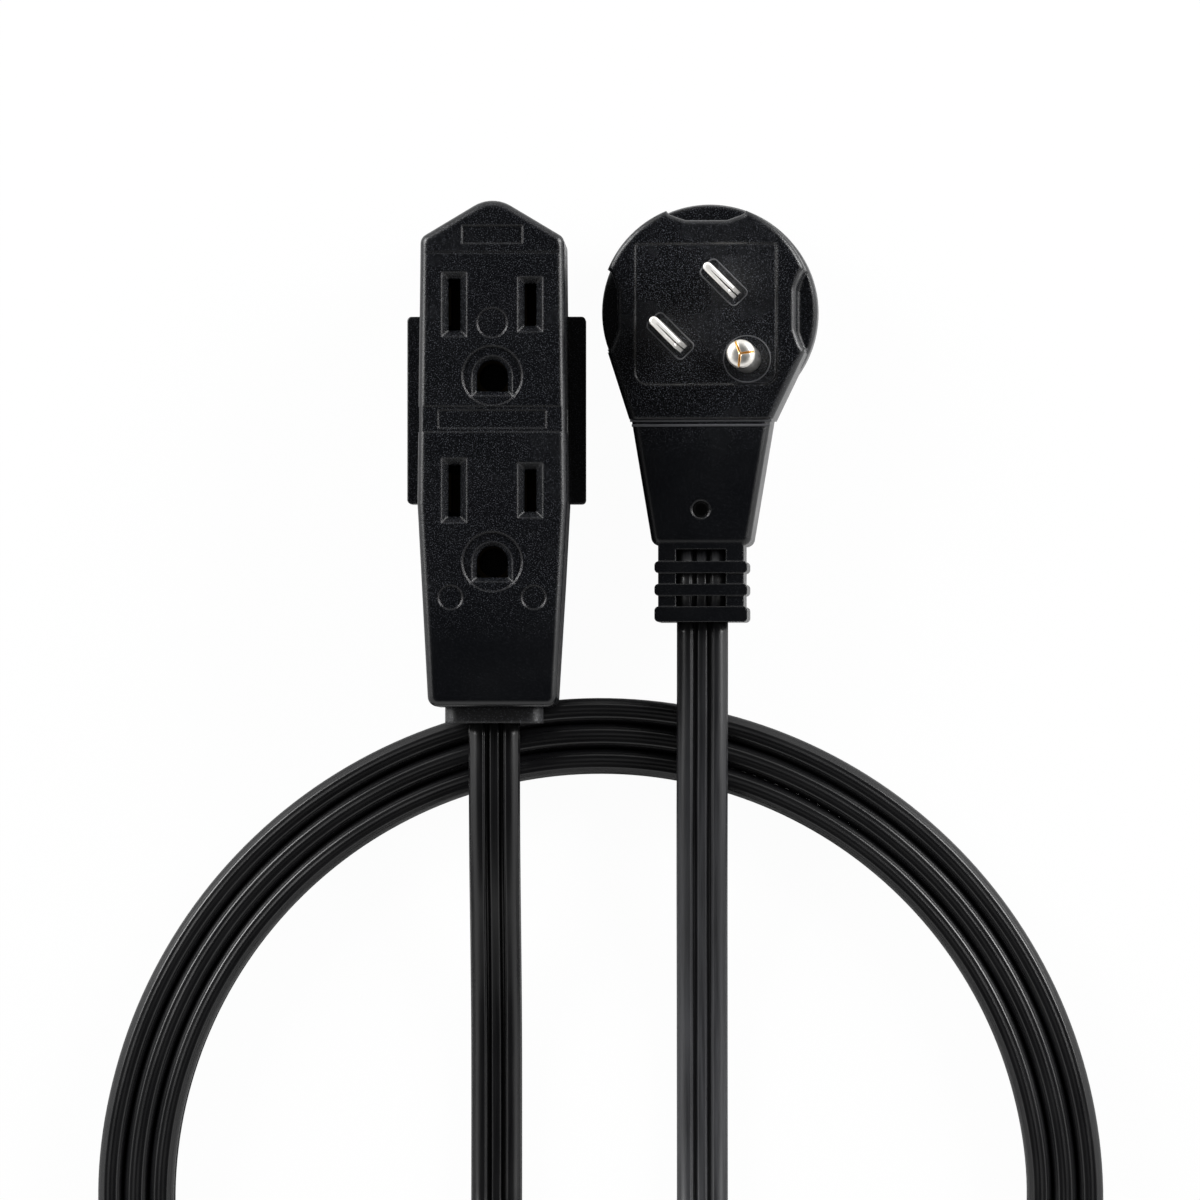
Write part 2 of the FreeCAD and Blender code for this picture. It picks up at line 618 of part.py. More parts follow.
def contact_carrier():
    """Moulded tray that the strips sit on, with a rail outside each bus bar."""
    base = centred(
        "carrier_tray",
        ("0", "(carrier_low_y + carrier_high_y) / 2"),
        ("carrier_width", "carrier_high_y - carrier_low_y"),
        CARRIER_Z, "carrier_base",
    )
    items = [base]
    rail_y = "(lower_slot_y + upper_slot_y) / 2"
    rail_length = "upper_slot_y - lower_slot_y + leaf_width"
    for side in (-1, 1):
        for name, slot_y in (("upper", "upper_slot_y"), ("lower", "lower_slot_y")):
            items.append(centred(
                f"{name}_seat_{side + 2}",
                (f"{side} * (blade_spacing / 2 + 0.5)", slot_y),
                ("blade_grip + 2 * strip_metal + 1", "leaf_width"),
                CARRIER_Z, f"web_z - ({CARRIER_Z})",
            ))
        items.append(centred(
            f"rail_{side + 2}", (f"{side} * ({RAIL_X})", rail_y), ("rail_wall", rail_length),
            CARRIER_Z, f"{COVER_Z} - ({CARRIER_Z})",
        ))
        items.append(centred(
            f"rail_foot_{side + 2}", (f"{side} * (carrier_width / 2)", rail_y),
            ("2 * rail_wall", rail_length), CARRIER_Z, "carrier_base",
        ))
    holes = []
    low = f"{CARRIER_Z} - 1"
    deep = "carrier_base + 2"
    for side in (-1, 1):
        holes.append(centred(
            f"rear_way_{side + 2}", (f"{side} * blade_spacing / 2", "rear_slot_y"),
            ("blade_grip + 2 * strip_metal + 0.6", "neutral_slot + 0.4"), low, deep,
        ))
    for name, slot_y, radius in (
        ("upper", "upper_slot_y", "sleeve_bore + fit"),
        ("lower", "lower_slot_y", "sleeve_bore + fit"),
        ("rear", "rear_slot_y", "sleeve_radius + fit"),
    ):
        holes.append(rod(f"{name}_ground_way", ("0", f"{slot_y} - ground_drop", low), radius, deep))
    return cut("carrier", fuse("carrier_solid", items), holes)


def contact_cover():
    """Thin plate over the contacts, with a way in for each blade and ground pin."""
    plate = centred(
        "cover_plate",
        ("0", "(lower_slot_y - ground_drop + upper_slot_y) / 2"),
        ("carrier_width", "upper_slot_y - lower_slot_y + ground_drop + leaf_width"),
        COVER_Z, "cover_thickness",
    )
    wings = centred(
        "cover_wings",
        ("0", "(lower_slot_y + upper_slot_y) / 2"),
        (f"2 * ({RAIL_X}) + rail_wall", "upper_slot_y - lower_slot_y + leaf_width"),
        COVER_Z, "cover_thickness",
    )
    holes = []
    for name, slot_y in (("upper", "upper_slot_y"), ("lower", "lower_slot_y")):
        for side in (-1, 1):
            holes.append(centred(
                f"{name}_way_{side + 2}", (f"{side} * blade_spacing / 2", slot_y),
                ("slot_width + 0.6", "neutral_slot + 0.6"), f"{COVER_Z} - 1", "cover_thickness + 2",
            ))
        holes.append(centred(
            f"{name}_pin_way", ("0", f"{slot_y} - ground_drop"),
            ("2 * ground_hole_radius + 0.4", "2 * ground_hole_radius + 0.4"),
            f"{COVER_Z} - 1", "cover_thickness + 2",
        ))
    return cut("cover", fuse("cover_solid", [plate, wings]), holes)


# Paths of leads and cord

ARC_SHARE = 0.45


def route_edges(points):
    """Straight runs joined by tangent arcs, each as large as its two runs allow."""
    edges = []
    radii = []
    start = points[0]
    for before, corner, after in zip(points, points[1:], points[2:]):
        back = before - corner
        ahead = after - corner
        turn = math.pi - back.getAngle(ahead)
        trim = ARC_SHARE * min(back.Length, ahead.Length)
        radii.append(trim / math.tan(turn / 2))
        arc_start = corner + Vector(back).normalize() * trim
        arc_end = corner + Vector(ahead).normalize() * trim
        to_middle = (Vector(back).normalize() + Vector(ahead).normalize()).normalize()
        middle = corner + to_middle * (radii[-1] / math.cos(turn / 2) - radii[-1])
        edges.append(Part.LineSegment(start, arc_start).toShape())
        edges.append(Part.Arc(arc_start, middle, arc_end).toShape())
        start = arc_end
    edges.append(Part.LineSegment(start, points[-1]).toShape())
    return edges, radii


def feature(name, shape):
    """Document object for a swept shape."""
    item = doc.addObject("Part::Feature", name)
    item.Shape = shape
    item.Placement = Placement()
    return item


def tube(name, points, radius):
    """Round wire along a route, or straight between two points."""
    spots = [Vector(*point) for point in points]
    edges = [Part.LineSegment(spots[0], spots[1]).toShape()]
    if len(spots) > 2:
        edges = route_edges(spots)[0]
    way = (spots[1] - spots[0]).normalize()
    ring = Part.Wire([Part.Circle(spots[0], way, radius).toShape()])
    return feature(name, Part.Wire(edges).makePipeShell([ring], True, False))


def numbers(points):
    """Route points worked out from formulas."""
    return [tuple(size(text) for text in point) for point in points]


def connector_leads():
    """Three insulated leads from the collar to the strips, and their copper ends."""
    lead = size("lead_radius")
    core = size("core_radius")
    entry = "foot_y - collar_reach"
    bus_face = "bus_x - strip_metal / 2 - core_radius"
    found = {}
    for name, side in (("neutral", -1), ("line", 1)):
        insulation_end = (f"{side} * ({bus_face})", "bus_low_y - 1.5", "exit_z - 1")
        route = numbers([
            (f"{side} * lead_pitch", entry, "exit_z"),
            (f"{side} * lead_pitch", "foot_y + 7", "exit_z"),
            (f"{side} * ({bus_face})", "bus_low_y - 8", "exit_z - 1"),
            insulation_end,
        ])
        found[name + "_lead"] = tube(name + "_insulation", route, lead)
        copper = [insulation_end, (f"{side} * ({bus_face})", "bus_low_y + 3", "exit_z - 1")]
        found[name + "_lead_core"] = tube(name + "_copper", numbers(copper), core)
    sleeve_face = "lower_slot_y - ground_drop - sleeve_radius"
    stop = ("0", f"{sleeve_face} - 3", "exit_z")
    found["ground_lead"] = tube("ground_insulation", numbers([("0", entry, "exit_z"), stop]), lead)
    copper = [stop, ("0", sleeve_face, "exit_z")]
    found["ground_lead_core"] = tube("ground_copper", numbers(copper), core)
    return found


def half_turn(middle_x, radius, upper):
    """Half circle of the coil above or below its middle line, run anticlockwise from its start."""
    y = size("coil_y")
    z = size("cord_width / 2")
    bend = radius if upper else -radius
    start = Vector(middle_x + bend, y, z)
    top = Vector(middle_x, y + bend, z)
    end = Vector(middle_x - bend, y, z)
    return Part.Arc(start, top, end).toShape()


COIL_TURNS = 3
LEAD_ANGLE = math.radians(30)
POINT_SPACING = 1.0
HALF_A_TURN = 200.0


def coil_edges():
    """Middle line of the coil, from its inner end to its outer end."""
    x = size("coil_x")
    y = size("coil_y")
    z = size("cord_width / 2")
    inner = size("coil_radius")
    pitch = size("coil_pitch")
    bend = size("coil_lead_radius")
    width = size("cord_width")
    bend_x = x + inner - bend
    leave = Vector(bend_x + bend * math.cos(LEAD_ANGLE), y - bend * math.sin(LEAD_ANGLE), z)
    halfway = Vector(bend_x + bend * math.cos(LEAD_ANGLE / 2), y - bend * math.sin(LEAD_ANGLE / 2), z)
    tail = leave + Vector(-math.sin(LEAD_ANGLE), -math.cos(LEAD_ANGLE), 0) * width
    edges = [
        Part.LineSegment(tail, leave).toShape(),
        Part.Arc(leave, halfway, Vector(x + inner, y, z)).toShape(),
    ]
    for turn in range(COIL_TURNS):
        radius = inner + turn * pitch
        edges.append(half_turn(x, radius, True))
        if turn < COIL_TURNS - 1:
            edges.append(half_turn(x + pitch / 2, radius + pitch / 2, False))
    outer = Vector(x - inner - (COIL_TURNS - 1) * pitch, y, z)
    edges.append(Part.LineSegment(outer, outer - Vector(0, width, 0)).toShape())
    return edges


def flat_section(middle, across, through):
    """Oblong section of the flat cord, wide along across and thin along through."""
    half = (size("cord_width") - size("cord_thickness")) / 2
    edge = size("cord_thickness") / 2
    corners = [
        middle - across * half + through * edge,
        middle + across * half + through * edge,
        middle + across * half - through * edge,
        middle - across * half - through * edge,
    ]
    right = middle + across * (half + edge)
    left = middle - across * (half + edge)
    return Part.Wire([
        Part.LineSegment(corners[0], corners[1]).toShape(),
        Part.Arc(corners[1], right, corners[2]).toShape(),
        Part.LineSegment(corners[2], corners[3]).toShape(),
        Part.Arc(corners[3], left, corners[0]).toShape(),
    ])


def cord_coil():
    """Three turns of flat cord standing on edge, as one unbroken band."""
    edges = coil_edges()
    path = Part.Wire(edges)
    start = edges[0].Vertexes[0].Point
    way = edges[0].tangentAt(edges[0].FirstParameter)
    section = flat_section(start, Vector(0, 0, 1), way.cross(Vector(0, 0, 1)))
    solid = path.makePipeShell([section], True, False)
    report_volume("cord_coil", solid, path.Length)
    report_gap(edges)
    return feature("coil", solid), path.Length


def report_volume(name, solid, length):
    """Prints a cord solid's volume beside its section times its length."""
    half = (size("cord_width") - size("cord_thickness"))
    area = half * size("cord_thickness") + math.pi * size("cord_thickness") ** 2 / 4
    expected = area * length
    print(f"{name}: length {length:.1f} mm, volume {solid.Volume:.1f}, section x length {expected:.1f}")


def report_gap(edges):
    """Prints the least gap between turns of the coil, from points along its middle line."""
    spots = []
    travelled = 0.0
    for edge in edges:
        steps = max(2, math.ceil(edge.Length / POINT_SPACING))
        for i, point in enumerate(edge.discretize(steps + 1)[:-1]):
            spots.append((travelled + edge.Length * i / steps, point))
        travelled += edge.Length
    least = min(
        (a[1] - b[1]).Length
        for i, a in enumerate(spots) for b in spots[i + 1:]
        if b[0] - a[0] > HALF_A_TURN
    )
    print(f"cord_coil: least gap between turns {least - size('cord_thickness'):.2f} mm")


# Cord stretches between the housings and the coil, as route points chosen by hand
CONNECTOR_ROUTE = [
    (0.0, -43.6, 15.0), (0.0, -54.0, 15.0), (0.0, -67.0, 12.6), (0.0, -80.0, 7.2),
    (0.0, -94.0, 2.7), (0.0, -108.0, 2.0), (0.0, -126.0, 2.25), (0.0, -152.5, 5.4),
    (5.7, -167.0, 4.9), (16.4, -178.4, 4.6), (30.3, -185.2, 4.4), (45.7, -186.35, 4.3),
    (60.45, -181.8, 4.25), (72.45, -172.25, 4.25), (80.13, -158.96, 4.25),
]
PLUG_ROUTE = [
    (34.93, -26.6, 11.75), (34.93, -36.0, 11.75), (34.9, -47.0, 11.9), (34.85, -59.0, 11.2),
    (34.8, -73.0, 7.3), (34.78, -87.0, 2.9), (34.78, -103.0, 1.95), (34.8, -122.0, 2.2),
    (34.85, -146.0, 7.6), (35.0, -181.0, 14.3), (28.3, -197.2, 14.5), (15.9, -209.6, 14.3),
    (-0.3, -216.3, 12.8), (-17.85, -216.3, 10.4), (-34.1, -209.6, 7.8), (-48.2, -195.5, 5.6),
    (-59.34, -176.3, 4.25), (-65.09, -154.8, 4.25), (-65.09, -132.6, 4.25),
]
CONNECTOR_TWIST = (82.5, 110.0)
PLUG_TWIST = (99.5, 134.0)
STATION_ANGLE = math.radians(9)


def stations(edges):
    """Points and directions along a path, close together on its arcs."""
    found = []
    travelled = 0.0
    for edge in edges:
        curved = not isinstance(edge.Curve, Part.Line)
        first_way = edge.tangentAt(edge.FirstParameter)
        last_way = edge.tangentAt(edge.LastParameter)
        steps = math.ceil(first_way.getAngle(last_way) / STATION_ANGLE) if curved else 1
        for i in range(steps + 1):
            at = edge.FirstParameter + (edge.LastParameter - edge.FirstParameter) * i / steps
            along = travelled + edge.Length * i / steps
            found.append((along, edge.valueAt(at), edge.tangentAt(at)))
        travelled += edge.Length
    return found


def cord_stretch(name, points, twist):
    """Flat cord along a route, turned from lying flat to standing on edge between two lengths."""
    edges, radii = route_edges([Vector(*point) for point in points])
    path = Part.Wire(edges)
    listed = stations(edges)
    extra = [twist[0] + (twist[1] - twist[0]) * i / 6 for i in range(7)]
    for along in extra:
        before = [s for s in listed if s[0] <= along][-1]
        after = [s for s in listed if s[0] > along][0]
        share = (along - before[0]) / (after[0] - before[0])
        spot = before[1] + (after[1] - before[1]) * share
        listed.append((along, spot, before[2] + (after[2] - before[2]) * share))
        listed.sort(key=lambda s: s[0])
    wires = []
    last = -1.0
    for along, spot, way in listed:
        if along - last < 0.4:
            continue
        last = along
        way = Vector(way).normalize()
        level = way.cross(Vector(0, 0, 1)).normalize()
        rise = level.cross(way)
        angle = math.radians(90) * min(1, max(0, (along - twist[0]) / (twist[1] - twist[0])))
        across = level * math.cos(angle) + rise * math.sin(angle)
        through = way.cross(across)
        wires.append(flat_section(spot, across, through))
    solid = Part.makeLoft(wires, True, True)
    report_volume(name, solid, path.Length)
    print(f"{name}: bend radii", ", ".join(f"{radius:.0f}" for radius in radii))
    return feature(name, solid), path.Length


# Plug

PIN_ROOT = "(pin_radius - pin_root_step)"
HEAD_X = "plug_x + head_shift"


def notch(name, turn):
    """Finger notch in the rim of the front layer, turned about the plug's middle."""
    body = prism(name, mirrored([
        ("notch_half", "plug_radius + 2"),
        ("notch_half", "notch_reach + notch_rise"),
        ("notch_flat", "notch_reach"),
    ]), "plug_back", "plug_depth")
    round_edges(body, "notch_round", upright_at([
        ("notch_flat", "notch_reach"),
        ("-notch_flat", "notch_reach"),
        ("notch_half", "notch_reach + notch_rise"),
        ("-notch_half", "notch_reach + notch_rise"),
    ]))
    body.Placement = Placement(Vector(), Rotation(Vector(0, 0, 1), turn))
    place(body, (HEAD_X, "plug_y", "plug_back"))
    return body


def plug_shape(name, corners, low_z, height, middle_x="plug_x"):
    """Prism in the plug's own place."""
    body = prism(name, corners, low_z, height)
    place(body, (middle_x, "plug_y", low_z))
    return body


def soften(name, base, radius, chosen):
    """Rounds the edges of a finished solid that a test chooses."""
    doc.recompute()
    item = doc.addObject("Part::Fillet", name)
    item.Base = base
    width = size(radius)
    item.Edges = [(i, width, width) for i, edge in enumerate(base.Shape.Edges, start=1) if chosen(edge)]
    return item


def lean(item):
    """Leans a finished plug piece to the left, with the rim of the round back on the table."""
    angle = size("plug_lean")
    rim = size("plug_rim_round")
    flat = size("plug_radius - plug_rim_round - head_shift")
    turn = math.radians(angle)
    lift = flat * math.sin(turn) + rim * (1 - math.cos(turn))
    foot = Vector(size("plug_x"), size("plug_y"), 0)
    turned = Placement(Vector(0, 0, lift), Rotation(Vector(0, 1, 0), -angle), foot)
    item.Placement = turned.multiply(item.Placement)


def ladder():
    """Strain relief: a core with ribs across it and windows that show the cord."""
    items = [box(
        "ladder_core",
        ("plug_x - ladder_half", "plug_y - neck_end - ladder_length", "ladder_low_z"),
        ("2 * ladder_half", "ladder_length + 1", "ladder_high_z - ladder_low_z"),
    )]
    windows = []
    for i in range(3):
        start = f"plug_y - neck_end - rib_first - {i} * rib_pitch - rib_length"
        rib_start = start if i < 2 else "plug_y - neck_end - ladder_length"
        length = "rib_length" if i < 2 else "ladder_length - rib_first - 2 * rib_pitch"
        rib = prism(f"ladder_rib_{i + 1}", [
            ("plug_x + ladder_half + rib_step", f"{rib_start} + {length}"),
            ("plug_x + ladder_half + rib_step", rib_start),
            ("plug_x - ladder_half - rib_step", rib_start),
            ("plug_x - ladder_half - rib_step", f"{rib_start} + {length}"),
        ], "ladder_low_z - rib_step / 2", "ladder_high_z - ladder_low_z + rib_step")
        round_edges(rib, "rib_round", upright)
        items.append(rib)
        window_length = "rib_pitch - rib_length" if i else "rib_first - 0.6"
        lower_height = "plug_cord_z - cord_thickness / 2 - ladder_low_z + rib_step"
        for side, low_z, height in (
            ("upper", "plug_cord_z + cord_thickness / 2", "ladder_high_z"),
            ("lower", "ladder_low_z - rib_step", lower_height),
        ):
            windows.append(box(
                f"window_{side}_{i + 1}",
                ("plug_x - window_half", f"{start} + rib_length", low_z),
                ("2 * window_half", window_length, height),
            ))
    return items, windows


def lead_routes():
    """Routes of the plug's leads, each with the end of its insulation and of its copper."""
    end_y = "plug_y - neck_end - ladder_length"
    pins_x = "plug_x + pins_shift"
    offset = "slant * blade_spacing / 2"
    touch = "slant * (blade_tail + blade_thickness) / 2"
    low = "inner_low_z - lead_radius - 0.4"
    ground = "slant * ground_drop"
    routes = {}
    for name, side, reach in (("line", -1, 4.0), ("neutral", 1, 4.0)):
        x = f"{pins_x} + {side} * {offset}"
        y = f"plug_y + {side} * {offset}"
        stop = (x, f"{y} - {touch} - {reach}", low)
        routes[name] = [[
            (f"plug_x + {side} * lead_pitch", end_y, "plug_cord_z"),
            (f"plug_x + {side} * lead_pitch", "plug_y - 24", "plug_cord_z"),
            (x, "plug_y - 15", low),
            stop,
        ], (x, f"{y} - {touch}", low)]
    x = f"{pins_x} + {ground}"
    y = f"plug_y - {ground}"
    low = "inner_low_z - lead_radius - 0.9"
    routes["ground"] = [[
        ("plug_x", end_y, "plug_cord_z"),
        ("plug_x", "plug_y - 38", "plug_cord_z"),
        ("plug_x + 0.6", "plug_y - 25.5", low),
        (x, "plug_y - 17", low),
        (x, f"{y} - {PIN_ROOT} - 3", low),
    ], (x, f"{y} - {PIN_ROOT}", low)]
    return routes


def plug_leads():
    """Three insulated leads in the plug and their copper ends."""
    found = {}
    for name, (route, copper_end) in lead_routes().items():
        copper = numbers([route[-1], copper_end])
        found[f"plug_{name}_lead"] = tube(f"plug_{name}_insulation", numbers(route), size("lead_radius"))
        found[f"plug_{name}_lead_core"] = tube(f"plug_{name}_copper", copper, size("core_radius"))
    return found


def slanted_side(edge):
    """Test for the long level edges at the sides of the neck."""
    way = edge.tangentAt(edge.FirstParameter)
    return abs(way.z) < 0.01 and 0.05 < abs(way.x) < 0.8


def plug_body():
    """Moulded plug with a round back, a notched front layer, a neck and the strain relief."""
    disc = rod("plug_back_disc", (HEAD_X, "plug_y", "0"), "plug_radius", "plug_back")
    rim = size("plug_radius")
    back = soften("soft_back", disc, "plug_rim_round", lambda edge: edge.Length > 2 * rim)
    layer_foot = (HEAD_X, "plug_y", "plug_back - 1")
    layer = rod("plug_face_disc", layer_foot, "plug_face_radius", "plug_depth - plug_back + 1")
    collar_corners = [
        ("head_shift + neck_top_half", "-neck_top"),
        ("neck_step_half", "-neck_step"),
        ("-neck_step_half", "-neck_step"),
        ("head_shift - neck_top_half", "-neck_top"),
    ]
    shoulder = plug_shape("plug_shoulder", collar_corners, "neck_low_z", "plug_depth - neck_low_z")
    round_edges(shoulder, "neck_round", slanted_side)
    neck_corners = mirrored([
        ("neck_step_half - bead_step", "2 - neck_step"),
        ("neck_step_half - bead_step", "-neck_step"),
        ("neck_end_half", "-neck_end"),
    ])
    neck = plug_shape("plug_neck", neck_corners, "neck_low_z", "neck_high_z - neck_low_z")
    neck_ends = [("neck_end_half", "-neck_end"), ("-neck_end_half", "-neck_end")]
    round_edges(neck, "neck_corner", upright_at(neck_ends))
    round_edges(neck, "neck_round", slanted_side)
    notches = [notch("top_notch", 0), notch("left_notch", 90), notch("right_notch", -90)]
    notched = soften("soft_grip", cut("plug_grip", layer, notches), "plug_face_round", level_at("plug_depth"))
    rungs, windows = ladder()
    solid = fuse("plug_solid", [back, notched, shoulder, neck] + rungs)
    room = plug_shape("inner_room", mirrored([
        ("inner_half + fit / 2", "inner_shift + inner_length / 2 + fit / 2"),
        ("inner_half + fit / 2", "inner_shift - inner_length / 2 - fit / 2"),
    ]), "inner_low_z", "plug_depth", HEAD_X)
    room_end = "inner_shift - inner_length / 2 - fit / 2"
    room_corners = [("inner_half + fit / 2", room_end), ("-inner_half - fit / 2", room_end)]
    round_edges(room, "inner_round + fit / 2", upright_at(room_corners))
    well = centred(
        "well", (HEAD_X, "plug_y + inner_shift"), ("2 * well_half", "2 * well_half"),
        "well_low_z", "inner_low_z - well_low_z + 1",
    )
    hole_foot = ("plug_x", "plug_y - hole_drop", "neck_high_z - hole_depth")
    hole = rod("neck_hole", hole_foot, "hole_radius", "hole_depth + 1")
    tools = [room, well, hole] + windows
    channel_radius = size("lead_radius + fit / 2")
    for name, (route, copper_end) in lead_routes().items():
        x, y, z = route[0]
        channel = numbers([(x, f"{y} - 1", z)] + route[1:])
        tools.append(tube(f"{name}_channel", channel, channel_radius))
        tools.append(tube(f"{name}_copper_room", numbers([route[-1], copper_end]), channel_radius))
    return cut("plug_moulding", solid, tools)


def plug_bridge():
    """Rigid block that holds the blades and the pin, flush with the plug's face."""
    block = plug_shape("bridge_block", mirrored([
        ("inner_half", "inner_shift + inner_length / 2"),
        ("inner_half", "inner_shift - inner_length / 2"),
    ]), "inner_low_z", "plug_depth - inner_low_z", HEAD_X)
    lower = "inner_shift - inner_length / 2"
    round_edges(block, "inner_round", upright_at([("inner_half", lower), ("-inner_half", lower)]))
    holes = []
    for side in (-1, 1):
        sides = ("blade_width + fit", "blade_thickness + fit")
        holes.append(slanted(f"blade_way_{side + 2}", side, sides, "inner_low_z - 1", "plug_depth"))
    holes.append(rod("pin_way", pin_foot("inner_low_z - 1"), f"{PIN_ROOT} + fit / 2", "plug_depth"))
    return cut("bridge", block, holes)


def pin_foot(low_z):
    """Middle of the ground pin's foot at a height."""
    return ("plug_x + pins_shift + slant * ground_drop", "plug_y - slant * ground_drop", low_z)


def slanted(name, side, sides, low_z, height):
    """Box turned 45 degrees, in the place of one of the two blades."""
    width, thickness = sides
    item = doc.addObject("Part::Box", name)
    bind(item, "Length", width)
    bind(item, "Width", thickness)
    bind(item, "Height", height)
    item.Placement = Placement(Vector(), Rotation(Vector(0, 0, 1), -45))
    middle_x = f"plug_x + pins_shift + {side} * slant * blade_spacing / 2"
    middle_y = f"plug_y + {side} * slant * blade_spacing / 2"
    place(item, (
        f"{middle_x} - slant * (({width}) + ({thickness})) / 2",
        f"{middle_y} + slant * (({width}) - ({thickness})) / 2",
        low_z,
    ))
    return item


def blade(name, side):
    """Blade of folded brass with a narrow root that the copper is crimped to."""
    tip_z = "plug_depth + blade_reach"
    flat = slanted(
        name + "_flat", side, ("blade_width", "blade_thickness"),
        "inner_low_z", f"{tip_z} - inner_low_z",
    )
    tail = slanted(
        name + "_tail", side, ("blade_tail", "blade_thickness"),
        "blade_tail_z", "inner_low_z - blade_tail_z + 1",
    )
    slit = slanted(
        name + "_slit", side, ("fold_length", "fold_gap"),
        f"{tip_z} - fold_depth", "fold_depth + 1",
    )
    return cut(name, fuse(name + "_solid", [flat, tail]), [slit])


def ground_pin():
    """Round ground pin with a thinner root and a chamfered tip."""
    root = rod("pin_root", pin_foot("blade_tail_z"), PIN_ROOT, "plug_depth + 1 - blade_tail_z")
    shaft_length = "pin_reach - pin_root_show - pin_tip"
    shaft = rod("pin_shaft", pin_foot("plug_depth + pin_root_show"), "pin_radius", shaft_length)
    tip = doc.addObject("Part::Cone", "pin_cone")
    bind(tip, "Radius1", "pin_radius")
    bind(tip, "Radius2", "pin_radius - pin_tip")
    bind(tip, "Height", "pin_tip")
    place(tip, pin_foot("plug_depth + pin_reach - pin_tip"))
    return fuse("pin", [root, shaft, tip])


# Every separate piece under its own name
pieces = {
    "connector_front_shell": front_shell(),
    "connector_rear_shell": rear_shell(),
    "cord_collar": cord_collar(),
    "contact_carrier": contact_carrier(),
    "contact_cover": contact_cover(),
    "neutral_contact_strip": live_strip("neutral_brass", -1, "neutral_arm_y"),
    "line_contact_strip": live_strip("line_brass", 1, "line_arm_y"),
    "ground_contact_strip": ground_strip(),
    "plug_body": plug_body(),
    "plug_bridge": plug_bridge(),
    "plug_line_blade": blade("line_blade", -1),
    "plug_neutral_blade": blade("neutral_blade", 1),
    "plug_ground_pin": ground_pin(),
}
pieces.update(connector_leads())
pieces.update(plug_leads())
lengths = {}
for node, built in (
    ("cord_coil", cord_coil()),
    ("connector_cord_tail", cord_stretch("connector_stretch", CONNECTOR_ROUTE, CONNECTOR_TWIST)),
    ("plug_cord_tail", cord_stretch("plug_stretch", PLUG_ROUTE, PLUG_TWIST)),
):
    pieces[node] = built[0]
    lengths[node] = built[1]
print(f"whole cord: {sum(lengths.values()):.0f} mm")

doc.recompute()
for node, item in pieces.items():
    if node.startswith("plug_") and node != "plug_cord_tail":
        lean(item)
for item in doc.Objects:
    if "Invalid" in item.State or "Error" in item.State:
        raise RuntimeError(f"{item.Name} failed: {item.State}")

os.makedirs("parts", exist_ok=True)
for node, item in pieces.items():
    item.Label = node
    if item.Shape.isNull() or not item.Shape.isValid() or not item.Shape.Solids:
        raise RuntimeError(f"{node} has no valid solid")
    item.Shape.exportStep(f"parts/{node}.step")
    print(f"{node}: {len(item.Shape.Solids)} solid, {item.Shape.Volume:.1f} mm3")
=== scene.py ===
import math

import bmesh
import bpy
from mathutils import Matrix, Vector


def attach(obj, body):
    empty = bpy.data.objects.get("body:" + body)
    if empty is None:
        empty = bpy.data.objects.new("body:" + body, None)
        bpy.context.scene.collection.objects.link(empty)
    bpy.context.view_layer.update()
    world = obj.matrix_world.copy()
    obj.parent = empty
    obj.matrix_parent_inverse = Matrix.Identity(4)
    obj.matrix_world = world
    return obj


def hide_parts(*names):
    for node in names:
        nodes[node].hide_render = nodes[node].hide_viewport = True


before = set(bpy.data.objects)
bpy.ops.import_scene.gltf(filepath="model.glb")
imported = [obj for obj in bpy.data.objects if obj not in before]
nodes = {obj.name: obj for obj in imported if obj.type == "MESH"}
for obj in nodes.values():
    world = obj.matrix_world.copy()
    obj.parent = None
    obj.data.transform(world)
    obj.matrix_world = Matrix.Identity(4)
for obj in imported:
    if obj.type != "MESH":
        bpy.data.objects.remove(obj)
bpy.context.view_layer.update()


# The table, the light and the view
# The cord lies on a plain white table and is seen from nearly straight above. Two large
# soft lights and two small near ones stand left and right, in a white tent with a dark
# opening overhead, so that flat tops stay dark and rounded edges catch the light.

scene = bpy.context.scene
scene.view_settings.view_transform = "Standard"

picture_width = 1200
points_per_mm = 6.0
sensor_width = 36.0
view_distance = 1.5
view_slope = math.tan(math.radians(1.2))
target = Vector((0.018, -0.02315, 0.027))
eye = target + view_distance * Vector((view_slope, -view_slope, 1.0))
look = (target - eye).normalized()
rightward = look.cross(Vector((0, 1, 0))).normalized()
upward = rightward.cross(look)
camera_turn = Matrix((rightward, upward, -look)).transposed().to_4x4()
camera = bpy.data.objects.new("camera", bpy.data.cameras.new("camera"))
camera.matrix_world = Matrix.Translation(eye) @ camera_turn
camera.data.sensor_width = sensor_width
camera.data.lens = sensor_width * points_per_mm * (target - eye).length * 1000 / picture_width
camera.data.clip_start = 0.05
camera.data.clip_end = 20.0
scene.collection.objects.link(camera)
scene.camera = camera

for name, place, aim, size, power in (
    ("left_softbox", (-0.85, 0.55, 0.50), (0.0, -0.04, 0.0), 0.5, 12.0),
    ("right_softbox", (0.90, 0.55, 0.50), (0.0, -0.04, 0.0), 0.5, 12.0),
    ("left_near_light", (-0.34, 0.06, 0.20), (0.0, 0.0, 0.0), 0.14, 0.35),
    ("right_near_light", (0.36, 0.06, 0.20), (0.0, 0.0, 0.0), 0.14, 0.45),
):
    lamp = bpy.data.lights.new(name, "AREA")
    lamp.shape = "SQUARE"
    lamp.size = size
    lamp.energy = power
    light = bpy.data.objects.new(name, lamp)
    light.location = place
    light.rotation_euler = (Vector(aim) - Vector(place)).to_track_quat("-Z", "Y").to_euler()
    scene.collection.objects.link(light)


